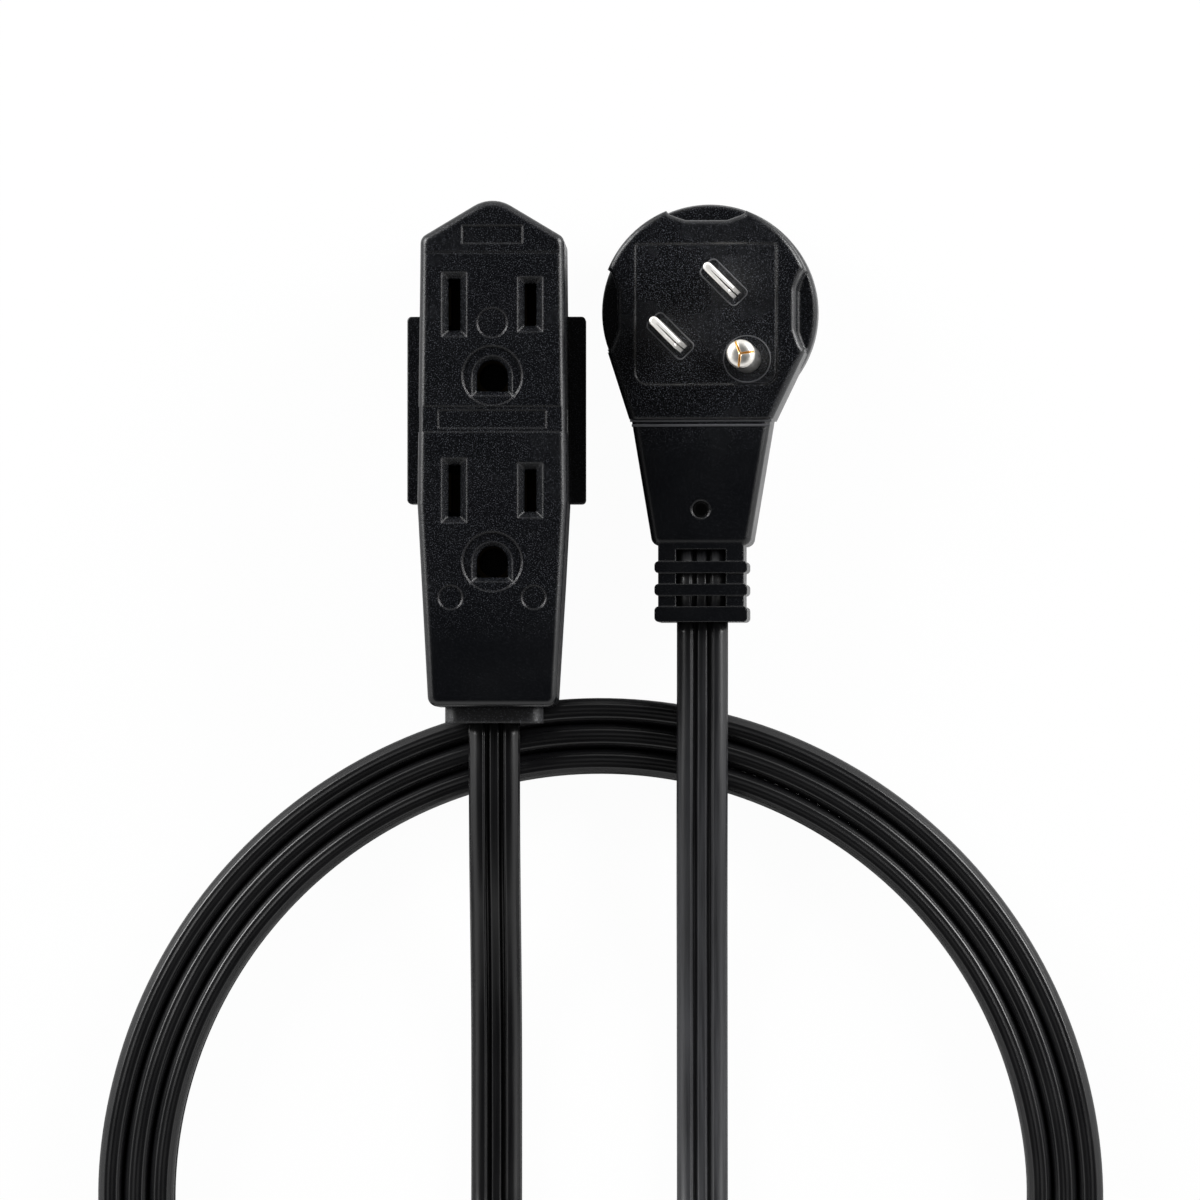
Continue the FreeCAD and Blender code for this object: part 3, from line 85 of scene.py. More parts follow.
def add_node(tree, kind, sockets=None, **settings):
    """New shader node with its settings, and with each socket set or linked."""
    made = tree.nodes.new("ShaderNode" + kind)
    for setting, value in settings.items():
        setattr(made, setting, value)
    for socket, value in (sockets or {}).items():
        if isinstance(value, bpy.types.NodeSocket):
            tree.links.new(value, made.inputs[socket])
        else:
            made.inputs[socket].default_value = value
    return made


def remap(tree, value, span, result=(0.0, 1.0), **settings):
    """A value stretched from one span to another, and held at both ends."""
    sockets = {
        "Value": value, "From Min": span[0], "From Max": span[1],
        "To Min": result[0], "To Max": result[1],
    }
    return add_node(tree, "MapRange", sockets, **settings).outputs["Result"]


def multiply(tree, first, second):
    """Product of two values."""
    return add_node(tree, "Math", {0: first, 1: second}, operation="MULTIPLY").outputs[0]


# Mirrored rays see the tent, diffuse ones a weak even room, and the view plain white.
world = bpy.data.worlds.new("room")
scene.world = world
world.use_nodes = True
tree = world.node_tree
backdrop = tree.nodes["Background"]
backdrop.inputs["Color"].default_value = (1.0, 1.0, 1.0, 1.0)
direction = add_node(tree, "TexCoord")
height = add_node(tree, "SeparateXYZ", {"Vector": direction.outputs["Generated"]})
tent = remap(
    tree, height.outputs["Z"], (0.5, 0.85), (1.0, 0.03), interpolation_type="SMOOTHSTEP",
)
rays = add_node(tree, "LightPath")
mirrored = remap(tree, rays.outputs["Is Glossy Ray"], (0.0, 1.0), (0.2, tent))
seen_rays = {0: rays.outputs["Is Camera Ray"], 1: rays.outputs["Is Transmission Ray"]}
seen = add_node(tree, "Math", seen_rays, operation="MAXIMUM")
level = remap(tree, seen.outputs[0], (0.0, 1.0), (mirrored, 1.0))
tree.links.new(level, backdrop.inputs["Strength"])

table_half_width = 3.0
table = bmesh.new()
bmesh.ops.create_grid(table, x_segments=4, y_segments=4, size=table_half_width)
table_mesh = bpy.data.meshes.new("table")
table.to_mesh(table_mesh)
table.free()
table_top = bpy.data.objects.new("table", table_mesh)
scene.collection.objects.link(table_top)

white = bpy.data.materials.new("white_table")
white.use_nodes = True
tree = white.node_tree
tree.nodes.remove(tree.nodes["Principled BSDF"])
paper = add_node(tree, "BsdfDiffuse", {"Color": (0.85, 0.85, 0.85, 1.0)})
glow = add_node(tree, "Emission", {"Color": (1.0, 1.0, 1.0, 1.0), "Strength": 1.0})
rays = add_node(tree, "LightPath")
glow_share = multiply(tree, rays.outputs["Is Camera Ray"], 0.97)
both = add_node(tree, "MixShader", {
    "Fac": glow_share, 1: paper.outputs["BSDF"], 2: glow.outputs["Emission"],
})
tree.links.new(both.outputs["Shader"], tree.nodes["Material Output"].inputs["Surface"])
table_mesh.materials.append(white)


# The outlet block's shells
# Two black moulded shells of hard plastic, joined at mid height. Their faces have the fine
# spark-eroded grain of the mould, and the edges are slightly rounded and catch the light.


def grain_group():
    """Fine moulded grain with slow changes of sheen."""
    group = bpy.data.node_groups.new("Moulded grain", "ShaderNodeTree")
    for name, value in (("Grain size", 0.0004), ("Sheen low", 0.35), ("Sheen high", 0.5)):
        socket = group.interface.new_socket(
            name, in_out="INPUT", socket_type="NodeSocketFloat",
        )
        socket.default_value = value
    for name in ("Height", "Roughness", "Painted glint"):
        group.interface.new_socket(name, in_out="OUTPUT", socket_type="NodeSocketFloat")
    entry = group.nodes.new("NodeGroupInput")
    out = group.nodes.new("NodeGroupOutput")
    where = add_node(group, "TexCoord")
    per_metre = add_node(
        group, "Math", {0: 1.0, 1: entry.outputs["Grain size"]}, operation="DIVIDE",
    )
    # The grain lies askew, so that no flat face cuts its noise along a plane of the noise.
    askew = add_node(group, "Mapping", {
        "Vector": where.outputs["Object"], "Rotation": (0.5, 0.7, 0.3),
    })
    fine = add_node(group, "TexNoise", {
        "Vector": askew.outputs["Vector"], "Scale": per_metre.outputs[0], "Detail": 1.0,
    })
    group.links.new(fine.outputs["Fac"], out.inputs["Height"])
    # The grain's peaks, where the colour is painted paler: painted glints.
    glint_peaks = remap(group, fine.outputs["Fac"], (0.56, 0.72))
    group.links.new(glint_peaks, out.inputs["Painted glint"])
    slow = add_node(group, "TexNoise", {
        "Vector": where.outputs["Object"], "Scale": 90.0, "Detail": 3.0,
    })
    sheen_range = (entry.outputs["Sheen low"], entry.outputs["Sheen high"])
    sheen = remap(group, slow.outputs["Fac"], (0.3, 0.7), sheen_range)
    group.links.new(sheen, out.inputs["Roughness"])
    return group


grain = grain_group()


def start_material(name):
    """New material, with its node tree and its shader."""
    material = bpy.data.materials.new(name)
    material.use_nodes = True
    return material, material.node_tree, material.node_tree.nodes["Principled BSDF"]


def blend(tree, share, first, second):
    """Colour between two colours."""
    sockets = {"Factor": share, "A": (*first, 1.0), "B": (*second, 1.0)}
    return add_node(tree, "Mix", sockets, data_type="RGBA").outputs["Result"]


def place_along(tree):
    """Place along Y on the object."""
    where = add_node(tree, "TexCoord")
    return add_node(tree, "SeparateXYZ", {"Vector": where.outputs["Object"]}).outputs["Y"]


def moulded(
    name, colour, grain_size, grain_depth, sheen, rounding,
    painted_glint=0.0, smooth_end=None, fine_end=None,
):
    """Grained plastic with rounded edges, and painted glints: the peaks of its grain painted
    paler.

    Below smooth_end, along Y, the grain and its painted glints fade out. Below fine_end the
    edges are sharper.
    """
    fade_half, faded_grain = 0.005, 0.15
    change_half, fine_rounding = 0.0002, 0.00035
    glint_tint = (0.95, 1.0, 1.15)
    material, tree, shader = start_material(name)
    shader.inputs["IOR"].default_value = 1.5
    skin = add_node(tree, "Group", {
        "Grain size": grain_size, "Sheen low": sheen[0], "Sheen high": sheen[1],
    }, node_tree=grain)
    tree.links.new(skin.outputs["Roughness"], shader.inputs["Roughness"])
    height = skin.outputs["Height"]
    glint_share = skin.outputs["Painted glint"]
    if smooth_end is not None:
        span = (smooth_end - fade_half, smooth_end + fade_half)
        fade = remap(tree, place_along(tree), span, (faded_grain, 1.0))
        height = multiply(tree, height, fade)
        glint_share = multiply(tree, glint_share, fade)
    # Painted glints: pale colour on the peaks of the grain.
    if painted_glint:
        glint_colour = [part + painted_glint * tint for part, tint in zip(colour, glint_tint)]
        tone = blend(tree, glint_share, colour, glint_colour)
        tree.links.new(tone, shader.inputs["Base Color"])
    else:
        shader.inputs["Base Color"].default_value = (*colour, 1.0)
    radius = rounding
    if fine_end is not None:
        span = (fine_end - change_half, fine_end + change_half)
        radius = remap(tree, place_along(tree), span, (fine_rounding, rounding))
    soft = add_node(tree, "Bevel", {"Radius": radius}, samples=6)
    bump = add_node(tree, "Bump", {
        "Distance": grain_depth, "Height": height, "Normal": soft.outputs["Normal"],
    })
    tree.links.new(bump.outputs["Normal"], shader.inputs["Normal"])
    return material


def dress(node, material):
    """Gives a solid of the CAD model its material."""
    nodes[node].data.materials.clear()
    nodes[node].data.materials.append(material)


shell_black = moulded(
    "grained_black_shell", (0.0016, 0.0019, 0.0027), grain_size=0.00017,
    grain_depth=0.00003, sheen=(0.2, 0.3), rounding=0.00045, painted_glint=0.045, smooth_end=-0.026,
)
collar_black = moulded(
    "grained_black_collar", (0.022, 0.0222, 0.023), grain_size=0.00026,
    grain_depth=0.00005, sheen=(0.36, 0.44), rounding=0.0008, painted_glint=0.08,
)
for node in ("connector_front_shell", "connector_rear_shell"):
    dress(node, shell_black)
dress("cord_collar", collar_black)


# The contacts inside the block
# A black carrier and its cover hold three brass strips. Each strip has leaves that pinch
# the blades, or sleeves that take the round pins.

carrier_black = moulded(
    "carrier_black", (0.02, 0.02, 0.021), grain_size=0.0006, grain_depth=0.00002,
    sheen=(0.4, 0.5), rounding=0.0002,
)
for node in ("contact_carrier", "contact_cover"):
    dress(node, carrier_black)


def metal(name, colour, roughness):
    """Rolled sheet metal with fine drawn lines along Z."""
    lines_per_metre = (1500.0, 1500.0, 120.0)
    material, tree, shader = start_material(name)
    shader.inputs["Metallic"].default_value = 1.0
    where = add_node(tree, "TexCoord")
    stretch = add_node(tree, "Mapping", {
        "Vector": where.outputs["Object"], "Scale": lines_per_metre,
    })
    lines = add_node(tree, "TexNoise", {
        "Vector": stretch.outputs["Vector"], "Scale": 1.0, "Detail": 3.0,
    }).outputs["Fac"]
    tint = blend(tree, lines, [0.8 * part for part in colour], colour)
    tree.links.new(tint, shader.inputs["Base Color"])
    wear = remap(tree, lines, (0.0, 1.0), (roughness - 0.08, roughness + 0.1))
    tree.links.new(wear, shader.inputs["Roughness"])
    return material


# The strips' brass is painted very dark: painted shade for contacts deep in the slots.
painted_shade_brass = metal("painted_shade_brass", (0.16, 0.12, 0.065), 0.5)
for node in ("neutral_contact_strip", "line_contact_strip", "ground_contact_strip"):
    dress(node, painted_shade_brass)


# The leads
# Inside both housings the flat cord is split into its three insulated wires, white, black
# and green, with a few millimetres of bare copper at each end.

copper = metal("bare_copper", (0.82, 0.42, 0.26), 0.35)
for wire, name, colour in (
    ("neutral", "white_insulation", (0.7, 0.7, 0.68)),
    ("line", "black_insulation", (0.015, 0.015, 0.016)),
    ("ground", "green_insulation", (0.02, 0.22, 0.07)),
):
    coating = moulded(
        name, colour, grain_size=0.001, grain_depth=0.00001, sheen=(0.35, 0.42),
        rounding=0.0001,
    )
    for prefix in ("", "plug_"):
        dress(f"{prefix}{wire}_lead", coating)
        dress(f"{prefix}{wire}_lead_core", copper)


# The flat cord
# Black PVC round three conductors side by side: two round lobes and a narrow middle rib
# between two grooves, with fine ridges along both narrow edges. It leaves the block and
# the plug lying flat, turns on edge and makes three turns that stand side by side.

connector_route = [
    (0.0, -0.0436, 0.015), (0.0, -0.054, 0.015), (0.0, -0.067, 0.0126), (0.0, -0.08, 0.0072),
    (0.0, -0.094, 0.0027), (0.0, -0.108, 0.002), (0.0, -0.126, 0.00225), (0.0, -0.1525, 0.0054),
    (0.0057, -0.167, 0.0049), (0.0164, -0.1784, 0.0046), (0.0303, -0.1852, 0.0044),
    (0.0457, -0.18635, 0.0043), (0.06045, -0.1818, 0.00425), (0.07245, -0.17225, 0.00425),
    (0.08013, -0.15896, 0.00425),
]
plug_route = [
    (0.03493, -0.0266, 0.01175), (0.03493, -0.036, 0.01175), (0.0349, -0.047, 0.0119),
    (0.03485, -0.059, 0.0112), (0.0348, -0.073, 0.0073), (0.03478, -0.087, 0.0029),
    (0.03478, -0.103, 0.00195), (0.0348, -0.122, 0.0022), (0.03485, -0.146, 0.0076),
    (0.035, -0.181, 0.0143), (0.0283, -0.1972, 0.0145), (0.0159, -0.2096, 0.0143),
    (-0.0003, -0.2163, 0.0128), (-0.01785, -0.2163, 0.0104), (-0.0341, -0.2096, 0.0078),
    (-0.0482, -0.1955, 0.0056), (-0.05934, -0.1763, 0.00425), (-0.06509, -0.1548, 0.00425),
    (-0.06509, -0.1326, 0.00425),
]
coil_turns = 3
coil_radius = 0.07415
coil_pitch = 0.00427
coil_middle = Vector((0.0176, -0.1241, 0.00425))
lead_in_radius = 0.055
step = math.radians(15)
steps_in_half_turn = 12


def arc_points(middle, radius, start, count):
    """Points whose smooth line runs round a middle at the given radius."""
    found = []
    for i in range(count):
        angle = start + (i + 0.5) * step
        reach = radius / math.cos(step / 2)
        found.append(middle + reach * Vector((math.cos(angle), math.sin(angle), 0)))
    return found


cord_points = [Vector(point) for point in connector_route]
lead_in_middle = coil_middle + Vector((coil_radius - lead_in_radius, 0, 0))
cord_points += arc_points(lead_in_middle, lead_in_radius, -2 * step, 2)
for turn in range(coil_turns):
    radius = coil_radius + turn * coil_pitch
    cord_points += arc_points(coil_middle, radius, 0.0, steps_in_half_turn)
    if turn < coil_turns - 1:
        shifted = coil_middle + Vector((coil_pitch / 2, 0, 0))
        cord_points += arc_points(
            shifted, radius + coil_pitch / 2, math.pi, steps_in_half_turn,
        )
cord_points += [Vector(point) for point in reversed(plug_route)]

centreline = bpy.data.curves.new("cord_centreline", "CURVE")
centreline.dimensions = "3D"
centreline.resolution_u = 10
line = centreline.splines.new("NURBS")
line.points.add(len(cord_points) - 1)
for spot, point in zip(line.points, cord_points):
    spot.co = (*point, 1.0)
line.order_u = 3
line.use_endpoint_u = True
guide = bpy.data.objects.new("cord_centreline", centreline)
scene.collection.objects.link(guide)
bpy.context.view_layer.update()
read = bpy.data.meshes.new_from_object(
    guide.evaluated_get(bpy.context.evaluated_depsgraph_get())
)
line_points = [vertex.co.copy() for vertex in read.vertices]
bpy.data.meshes.remove(read)
bpy.data.objects.remove(guide)

shortest_step = 0.0005
cord_path = [line_points[0]]
for point in line_points[1:]:
    if (point - cord_path[-1]).length > shortest_step:
        cord_path.append(point)
travelled = [0.0]
for before, after in zip(cord_path, cord_path[1:]):
    travelled.append(travelled[-1] + (after - before).length)
cord_length = travelled[-1]

# A lobe's radius and its middle's distance from the cord's, lying flat and standing.
flat_lobe = (0.00198, 0.00228)
upright_lobe = (0.00219, 0.00204)
web_half = 0.0018
web_steps = 12
rib_half = 0.00072
rib_height = 0.00168
rib_fall = 0.00006
groove_half = 0.00048
groove_depth = 0.00062
lobe_steps = 16
ridge_height = 0.00011
ridge_angles = (-27.0, 0.0, 27.0)
ridge_half_angle = 8.0


def cord_profile(upright):
    """Outline of the cord, whose lobes bulge a little where it stands upright in the coil."""
    lobe_radius = flat_lobe[0] + (upright_lobe[0] - flat_lobe[0]) * upright
    lobe_offset = flat_lobe[1] + (upright_lobe[1] - flat_lobe[1]) * upright
    inner_edge = math.degrees(math.acos((web_half - lobe_offset) / lobe_radius))
    upper = []
    for i in range(-web_steps, web_steps + 1):
        across = i * web_half / web_steps
        height = rib_height - rib_fall * (across / rib_half) ** 2
        distance = abs(abs(across) - rib_half - groove_half)
        if distance < groove_half:
            height -= groove_depth * (1 - (distance / groove_half) ** 2)
        upper.append((across, height))
    lobe = []
    for i in range(2 * lobe_steps + 1):
        angle = math.radians(inner_edge * (1 - i / lobe_steps))
        bulge = 0.0
        for ridge in ridge_angles:
            gap = abs(math.degrees(angle) - ridge) / ridge_half_angle
            bulge += ridge_height * max(0.0, 1 - gap * gap)
        reach = lobe_radius + bulge - ridge_height / 2
        lobe.append((lobe_offset + reach * math.cos(angle), reach * math.sin(angle)))
    half_outline = upper + lobe
    return half_outline + [(-a, -t) for a, t in upper] + [(-a, -t) for a, t in lobe]


# Where the cord turns on edge after the block, and flat again before the plug.
block_twist_start = 0.0825
block_twist_length = 0.0275
plug_twist_start = cord_length - 0.134
plug_twist_length = 0.0345


def turned(distance):
    """How far the cord has turned from lying flat, at a distance along it."""
    near = min(1.0, max(0.0, (distance - block_twist_start) / block_twist_length))
    far = min(1.0, max(0.0, (distance - plug_twist_start) / plug_twist_length))
    return math.radians(90) * (near + far)


def cord_skin(shape, rings, places):
    """Faces between rings of the cord's outline, with the distance along it in their UV."""
    uv = shape.loops.layers.uv.new("along")
    count = len(rings[0])
    for ring, after, here, there in zip(rings, rings[1:], places, places[1:]):
        for j in range(count):
            k = (j + 1) % count
            face = shape.faces.new((ring[j], ring[k], after[k], after[j]))
            face.smooth = True
            corners = ((j, here), (j + 1, here), (j + 1, there), (j, there))
            for loop, (number, place) in zip(face.loops, corners):
                loop[uv].uv = (number / count, place)
    shape.faces.new(rings[0])
    shape.faces.new(list(reversed(rings[-1])))


cord_shape = bmesh.new()
rings = []
for i, point in enumerate(cord_path):
    way = (cord_path[min(i + 1, len(cord_path) - 1)] - cord_path[max(i - 1, 0)]).normalized()
    side = way.cross(Vector((0, 0, 1))).normalized()
    rise = side.cross(way)
    angle = turned(travelled[i])
    profile = cord_profile(math.sin(angle))
    across = side * math.cos(angle) + rise * math.sin(angle)
    through = way.cross(across)
    rings.append([cord_shape.verts.new(point + across * a + through * t) for a, t in profile])
cord_skin(cord_shape, rings, travelled)
bmesh.ops.recalc_face_normals(cord_shape, faces=cord_shape.faces)
cord_mesh = bpy.data.meshes.new("flat_cord")
cord_shape.to_mesh(cord_mesh)
cord_shape.free()
cord = bpy.data.objects.new("flat_cord", cord_mesh)
scene.collection.objects.link(cord)

# The jacket shines in long streaks. Near the plug it is rougher, and there its streaks are
# painted paler: a painted sheen on the lobes, weaker again right at the plug.
jacket, tree, shader = start_material("black_cord_jacket")
shader.inputs["IOR"].default_value = 1.5
where = add_node(tree, "UVMap", uv_map="along")
stretch = add_node(tree, "Mapping", {
    "Vector": where.outputs["UV"], "Scale": (40.0, 60.0, 1.0),
})
streaks = add_node(tree, "TexNoise", {
    "Vector": stretch.outputs["Vector"], "Scale": 1.0, "Detail": 3.0,
}).outputs["Fac"]
sheen = remap(tree, streaks, (0.3, 0.7), (0.24, 0.36))
along = add_node(tree, "SeparateXYZ", {"Vector": where.outputs["UV"]}).outputs["Y"]
stretch_rise = remap(tree, along, (cord_length - 0.16, cord_length - 0.09))
stretch_fall = remap(tree, along, (cord_length - 0.05, cord_length - 0.005), (1.0, 0.25))
plug_stretch = multiply(tree, stretch_rise, stretch_fall)
# Painted sheen: the paler colour follows the streaks along the plug's stretch.
painted_sheen_share = multiply(tree, plug_stretch, streaks)
painted_sheen = blend(tree, painted_sheen_share, (0.003, 0.003, 0.0035), (0.05, 0.051, 0.056))
tree.links.new(painted_sheen, shader.inputs["Base Color"])
rougher = add_node(tree, "Math", {0: plug_stretch, 1: 0.14, 2: sheen}, operation="MULTIPLY_ADD")
tree.links.new(rougher.outputs[0], shader.inputs["Roughness"])
ripple = add_node(tree, "Bump", {"Height": streaks, "Distance": 0.00002})
tree.links.new(ripple.outputs["Normal"], shader.inputs["Normal"])
cord_mesh.materials.append(jacket)

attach(cord, "root")
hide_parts("connector_cord_tail", "cord_coil", "plug_cord_tail")


# The plug's moulding
# Soft black PVC moulded over the bridge and the leads: a round back, a thinner front layer
# with three finger notches, a neck that narrows to the ladder of the strain relief.

plug_black = moulded(
    "soft_black_moulding", (0.0016, 0.0019, 0.0027), grain_size=0.00017,
    grain_depth=0.00003, sheen=(0.2, 0.3), rounding=0.0008, painted_glint=0.05,
    smooth_end=0.006, fine_end=-0.0136,
)
bridge_black = moulded(
    "bridge_black", (0.0022, 0.0025, 0.0033), grain_size=0.00017, grain_depth=0.00003,
    sheen=(0.22, 0.32), rounding=0.0003, painted_glint=0.065,
)
# The fine raised beads are painted a pale black: painted highlights along their lines.
painted_highlight_black = moulded(
    "painted_highlight_edge", (0.05, 0.051, 0.056), grain_size=0.00026, grain_depth=0.00002,
    sheen=(0.4, 0.5), rounding=0.0001,
)
dress("plug_body", plug_black)
dress("plug_bridge", bridge_black)

# The plug leans to the left on the rounded rim of its head.
lean = math.radians(3.0)
head_radius = 0.01825
rim_rounding = 0.0016
head_shift = 0.0009
lift = (
    (head_radius - rim_rounding - head_shift) * math.sin(lean)
    + rim_rounding * (1 - math.cos(lean))
)
plug_lie = Matrix.Translation((0.0355, 0.0259, lift)) @ Matrix.Rotation(-lean, 4, "Y")

face_height = 0.016
blades_x = -0.0006
slant = math.sqrt(0.5)
half_spacing = 0.00635
pin_reach = 0.01189
blade_middles = [
    Vector((blades_x + side * slant * half_spacing, side * slant * half_spacing, 0))
    for side in (-1, 1)
]
pin_middle = Vector((blades_x + slant * pin_reach, -slant * pin_reach, 0))
blade_turn = Matrix.Rotation(math.radians(-45), 4, "Z")


def plug_piece(name, shape, materials):
    """Finished piece of the plug, laid down with it."""
    mesh = bpy.data.meshes.new(name)
    bmesh.ops.recalc_face_normals(shape, faces=shape.faces)
    shape.to_mesh(mesh)
    shape.free()
    mesh.transform(plug_lie)
    for material in materials:
        mesh.materials.append(material)
    piece = bpy.data.objects.new(name, mesh)
    scene.collection.objects.link(piece)
    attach(piece, "root")
    return piece


def bead(shape, path, half_width, crown, closed=True):
    """Fine raised line along a path on the plug's face."""
    steps = 6
    sunk = 0.00002
    rows = []
    for i, point in enumerate(path):
        before = path[i - 1] if closed or i > 0 else point
        after = path[(i + 1) % len(path)] if closed or i + 1 < len(path) else point
        way = (after - before).normalized()
        out = Vector((way.y, -way.x, 0))
        row = []
        for k in range(steps + 1):
            turn = math.pi * k / steps
            rise = Vector((0, 0, crown * math.sin(turn) - sunk))
            row.append(shape.verts.new(point + out * half_width * math.cos(turn) + rise))
        rows.append(row)
    following = rows[1:] + rows[:1] if closed else rows[1:]
    for row, after in zip(rows, following):
        for k in range(steps):
            face = shape.faces.new((row[k], row[k + 1], after[k + 1], after[k]))
            face.smooth = True


def round_outline(half_length, half_width, corner, steps):
    """Points round an oblong with rounded corners."""
    points = []
    for quarter, (sx, sy) in enumerate(((1, 1), (-1, 1), (-1, -1), (1, -1))):
        for i in range(steps + 1):
            turn = math.radians(90 * (quarter + i / steps))
            points.append(Vector((
                sx * (half_length - corner) + corner * math.cos(turn),
                sy * (half_width - corner) + corner * math.sin(turn),
                0,
            )))
    return points


def on_circle(radius, turn, height):
    """Point of a level circle round the middle."""
    return Vector((radius * math.cos(turn), radius * math.sin(turn), height))


# Raised outlines round the feet of the blades and of the pin, painted pale as highlight lines.
seat_half_width = 0.00013
seat_crown = 0.00012
pin_seat_radius = 0.0039
seats = bmesh.new()
oblong = round_outline(half_length=0.0042, half_width=0.0018, corner=0.0008, steps=5)
for middle in blade_middles:
    foot = middle + Vector((0, 0, face_height))
    bead(seats, [blade_turn @ point + foot for point in oblong], seat_half_width, seat_crown)
ring = [
    pin_middle + on_circle(pin_seat_radius, i * math.pi / 36, face_height) for i in range(72)
]
bead(seats, ring, seat_half_width, seat_crown)
pin_seats = plug_piece("pin_seats", seats, [painted_highlight_black])

# Two fine beads across the shoulder, where the head passes into the neck, painted pale as
# highlight lines.
shoulder_height = 0.0155
shoulder = bmesh.new()
for along, half_length in ((-0.01868, 0.0119), (-0.0195, 0.0116)):
    straight = [
        Vector((half_length * (i / 8 - 1), along, shoulder_height)) for i in range(17)
    ]
    bead(shoulder, straight, half_width=0.00022, crown=0.00018, closed=False)
shoulder_beads = plug_piece("shoulder_beads", shoulder, [painted_highlight_black])

# The ribbed cord that shows in the windows of the strain relief.
inner_ends = (-0.0400, -0.0524)
inner_height = 0.0126
inner_places = (cord_length + 0.02, cord_length + 0.008)
inner_cord = bmesh.new()
inner_rings = [
    [inner_cord.verts.new((a, end, inner_height + t)) for a, t in cord_profile(0.0)]
    for end in inner_ends
]
cord_skin(inner_cord, inner_rings, inner_places)
relief_cord = plug_piece("cord_in_strain_relief", inner_cord, [jacket])


# The blades and the pin
# Sheet brass with a bright plating. Each blade is folded on itself and open along one edge,
# and the round pin is rolled, with three seams that meet in the middle of its tip.

pin_metal = metal("plated_brass", (0.97, 0.94, 0.88), 0.36)
blade_metal = metal("dull_plated_brass", (0.98, 0.96, 0.92), 0.56)
seam_brass = metal("bare_brass_seam", (0.8, 0.47, 0.13), 0.4)
# A darker copy of the plating for the pin's shaft below its tip: painted shade.
painted_shade_metal = metal("painted_shade_shaft", (0.45, 0.44, 0.42), 0.3)
root_height = 0.0032

blade_half = 0.003175
blade_half_thick = 0.00076
blade_low = 0.006
blade_tip = 0.0326
tip_rounding = 0.00045
slit_mouth_half = 0.00012
slit_end_half = 0.00004
slit_end = -blade_half + 0.0014
blade_root_half = 0.0015
blade_root_top = 0.0064


def folded_blade(name, middle, node):
    """Blade folded along its upper left edge, with a narrow root."""
    half, thick = blade_half, blade_half_thick
    shape = bmesh.new()
    outline = []
    for i in range(9):
        turn = math.radians(90 + 180 * i / 8)
        outline.append((-half + thick + thick * math.cos(turn), thick * math.sin(turn)))
    outline += [
        (half, -thick), (half, -slit_mouth_half), (slit_end, -slit_end_half),
        (slit_end, slit_end_half), (half, slit_mouth_half), (half, thick),
    ]
    sections = [(blade_low, 0.0)]
    for i in range(6):
        turn = math.radians(15 * i)
        height = blade_tip - tip_rounding + tip_rounding * math.sin(turn)
        sections.append((height, tip_rounding * (1 - math.cos(turn))))
    rows = []
    for height, inset in sections:
        row = []
        for x, y in outline:
            narrowed = y if abs(y) <= slit_mouth_half else y * (1 - inset / thick)
            row.append(shape.verts.new((x * (1 - inset / half), narrowed, height)))
        rows.append(row)
    for row, after in zip(rows, rows[1:]):
        for i in range(len(outline)):
            k = (i + 1) % len(outline)
            face = shape.faces.new((row[i], row[k], after[k], after[i]))
            face.smooth = row is not rows[0]
    shape.faces.new(rows[-1])
    shape.faces.new(list(reversed(rows[0])))
    root_low = [
        shape.verts.new((side * blade_root_half, level * thick, root_height))
        for side, level in ((-1, -1), (1, -1), (1, 1), (-1, 1))
    ]
    root_high = [shape.verts.new((v.co.x, v.co.y, blade_root_top)) for v in root_low]
    for i in range(4):
        k = (i + 1) % 4
        shape.faces.new((root_low[i], root_low[k], root_high[k], root_high[i]))
    shape.faces.new(root_high)
    shape.faces.new(list(reversed(root_low)))
    lie = Matrix.Translation(middle) @ blade_turn
    bmesh.ops.transform(shape, matrix=lie, verts=shape.verts)
    piece = plug_piece(name, shape, [blade_metal])
    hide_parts(node)
    return piece


line_blade = folded_blade("line_blade", blade_middles[0], "plug_line_blade")
neutral_blade = folded_blade("neutral_blade", blade_middles[1], "plug_neutral_blade")

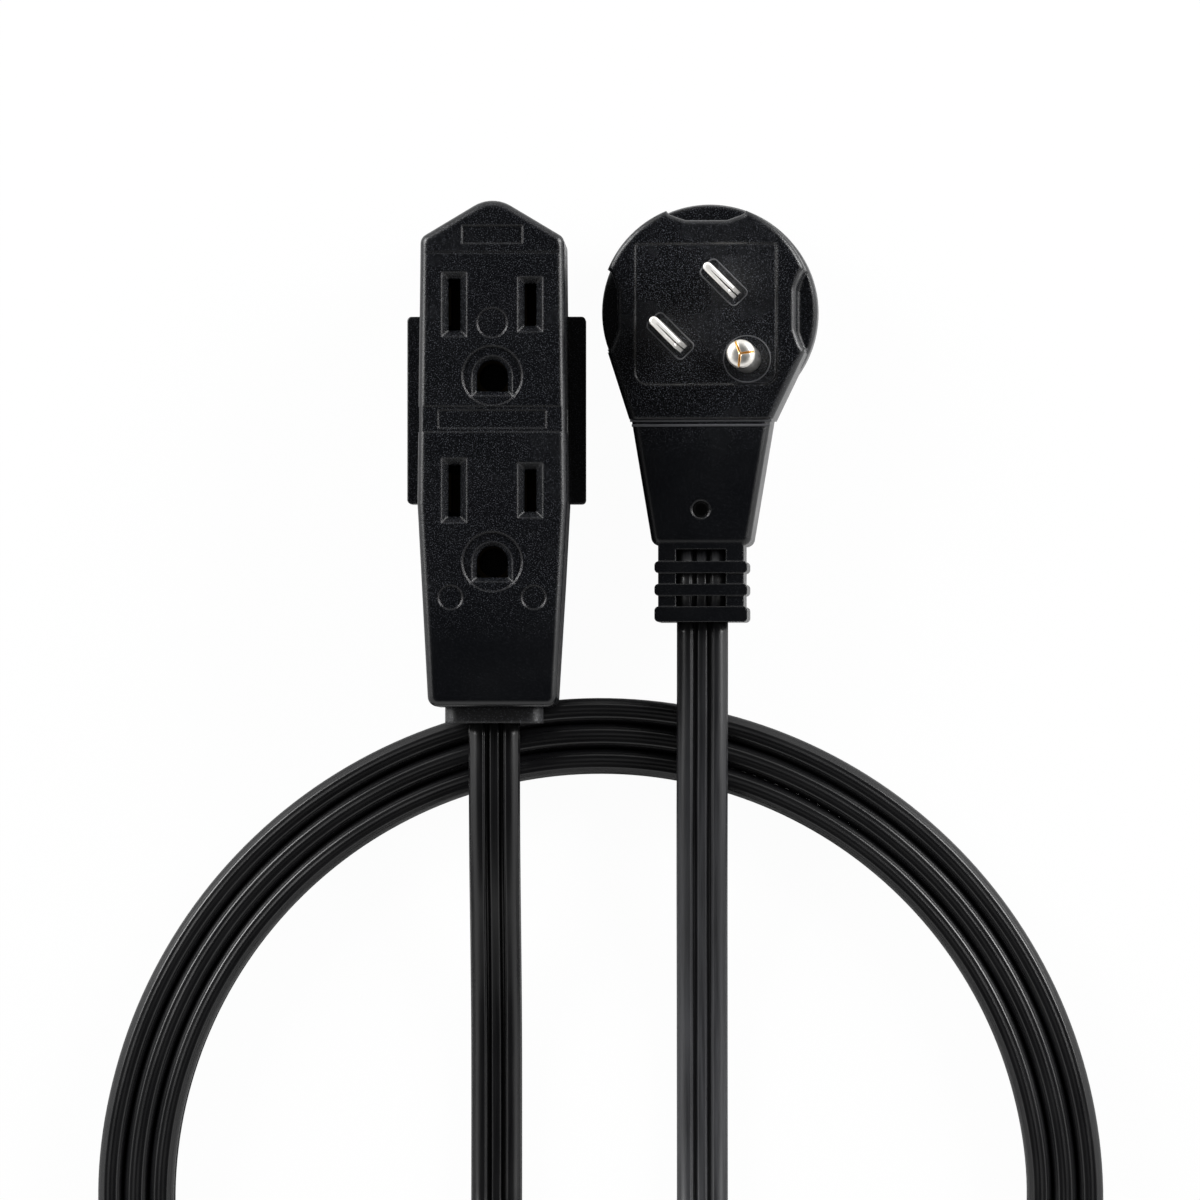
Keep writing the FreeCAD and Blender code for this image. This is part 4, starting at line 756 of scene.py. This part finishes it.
pin_radius = 0.00238
pin_neck_radius = 0.00213
pin_neck_top = 0.0163
pin_tip = 0.0356
tip_middle_height = 0.0353
tip_fall = 0.0011
tip_fullness = 2.6
tip_rings = 14
columns = 180
seam_turns = [math.radians(angle) for angle in (112, 8, 262)]
seam_depth = 0.0003
seam_width = 0.0001
seam_colour_half = 0.00018
seam_colour_low = 0.0346
shade_top = 0.0342
seam_slot, shade_slot = 1, 2


def seam_distance(reach, turn):
    """Distance of a point of the tip from the nearest of its three seams."""
    found = reach
    for seam in seam_turns:
        if math.cos(turn - seam) > 0:
            found = min(found, reach * abs(math.sin(turn - seam)))
    return found


rolled = bmesh.new()
turns = [2 * math.pi * i / columns for i in range(columns)]
pin_rows = []
for number in range(1, tip_rings + 1):
    reach = pin_radius * number / tip_rings
    fall = tip_fall * (1 - math.sqrt(max(0.0, 1 - (reach / pin_radius) ** tip_fullness)))
    row = []
    for turn in turns:
        groove = seam_depth * math.exp(-(seam_distance(reach, turn) / seam_width) ** 2)
        row.append(rolled.verts.new(on_circle(reach, turn, pin_tip - fall - groove)))
    pin_rows.append(row)
for reach, height in (
    (pin_radius, pin_neck_top), (pin_neck_radius, pin_neck_top), (pin_neck_radius, root_height),
):
    pin_rows.append([rolled.verts.new(on_circle(reach, turn, height)) for turn in turns])
tip_middle = rolled.verts.new((0, 0, tip_middle_height))
for i in range(columns):
    k = (i + 1) % columns
    face = rolled.faces.new((tip_middle, pin_rows[0][i], pin_rows[0][k]))
    face.smooth = True
    face.material_index = seam_slot
    for inner, outer in zip(pin_rows, pin_rows[1:]):
        face = rolled.faces.new((inner[i], outer[i], outer[k], inner[k]))
        face.smooth = True
        spot = face.calc_center_median()
        seam_gap = seam_distance(spot.xy.length, math.atan2(spot.y, spot.x))
        # Below the tip the pin takes the darker metal: painted shade on its shaft.
        if spot.z < shade_top:
            face.material_index = shade_slot
        elif spot.z > seam_colour_low and seam_gap < seam_colour_half:
            face.material_index = seam_slot
rolled.faces.new(list(reversed(pin_rows[-1])))
bmesh.ops.translate(rolled, verts=rolled.verts, vec=pin_middle)
round_pin = plug_piece(
    "round_pin", rolled, [pin_metal, seam_brass, painted_shade_metal],
)
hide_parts("plug_ground_pin")

carried = sorted(name for name in nodes if name.startswith("plug_") and name != "plug_cord_tail")
carried += [pin_seats, shoulder_beads, relief_cord, line_blade, neutral_blade, round_pin]
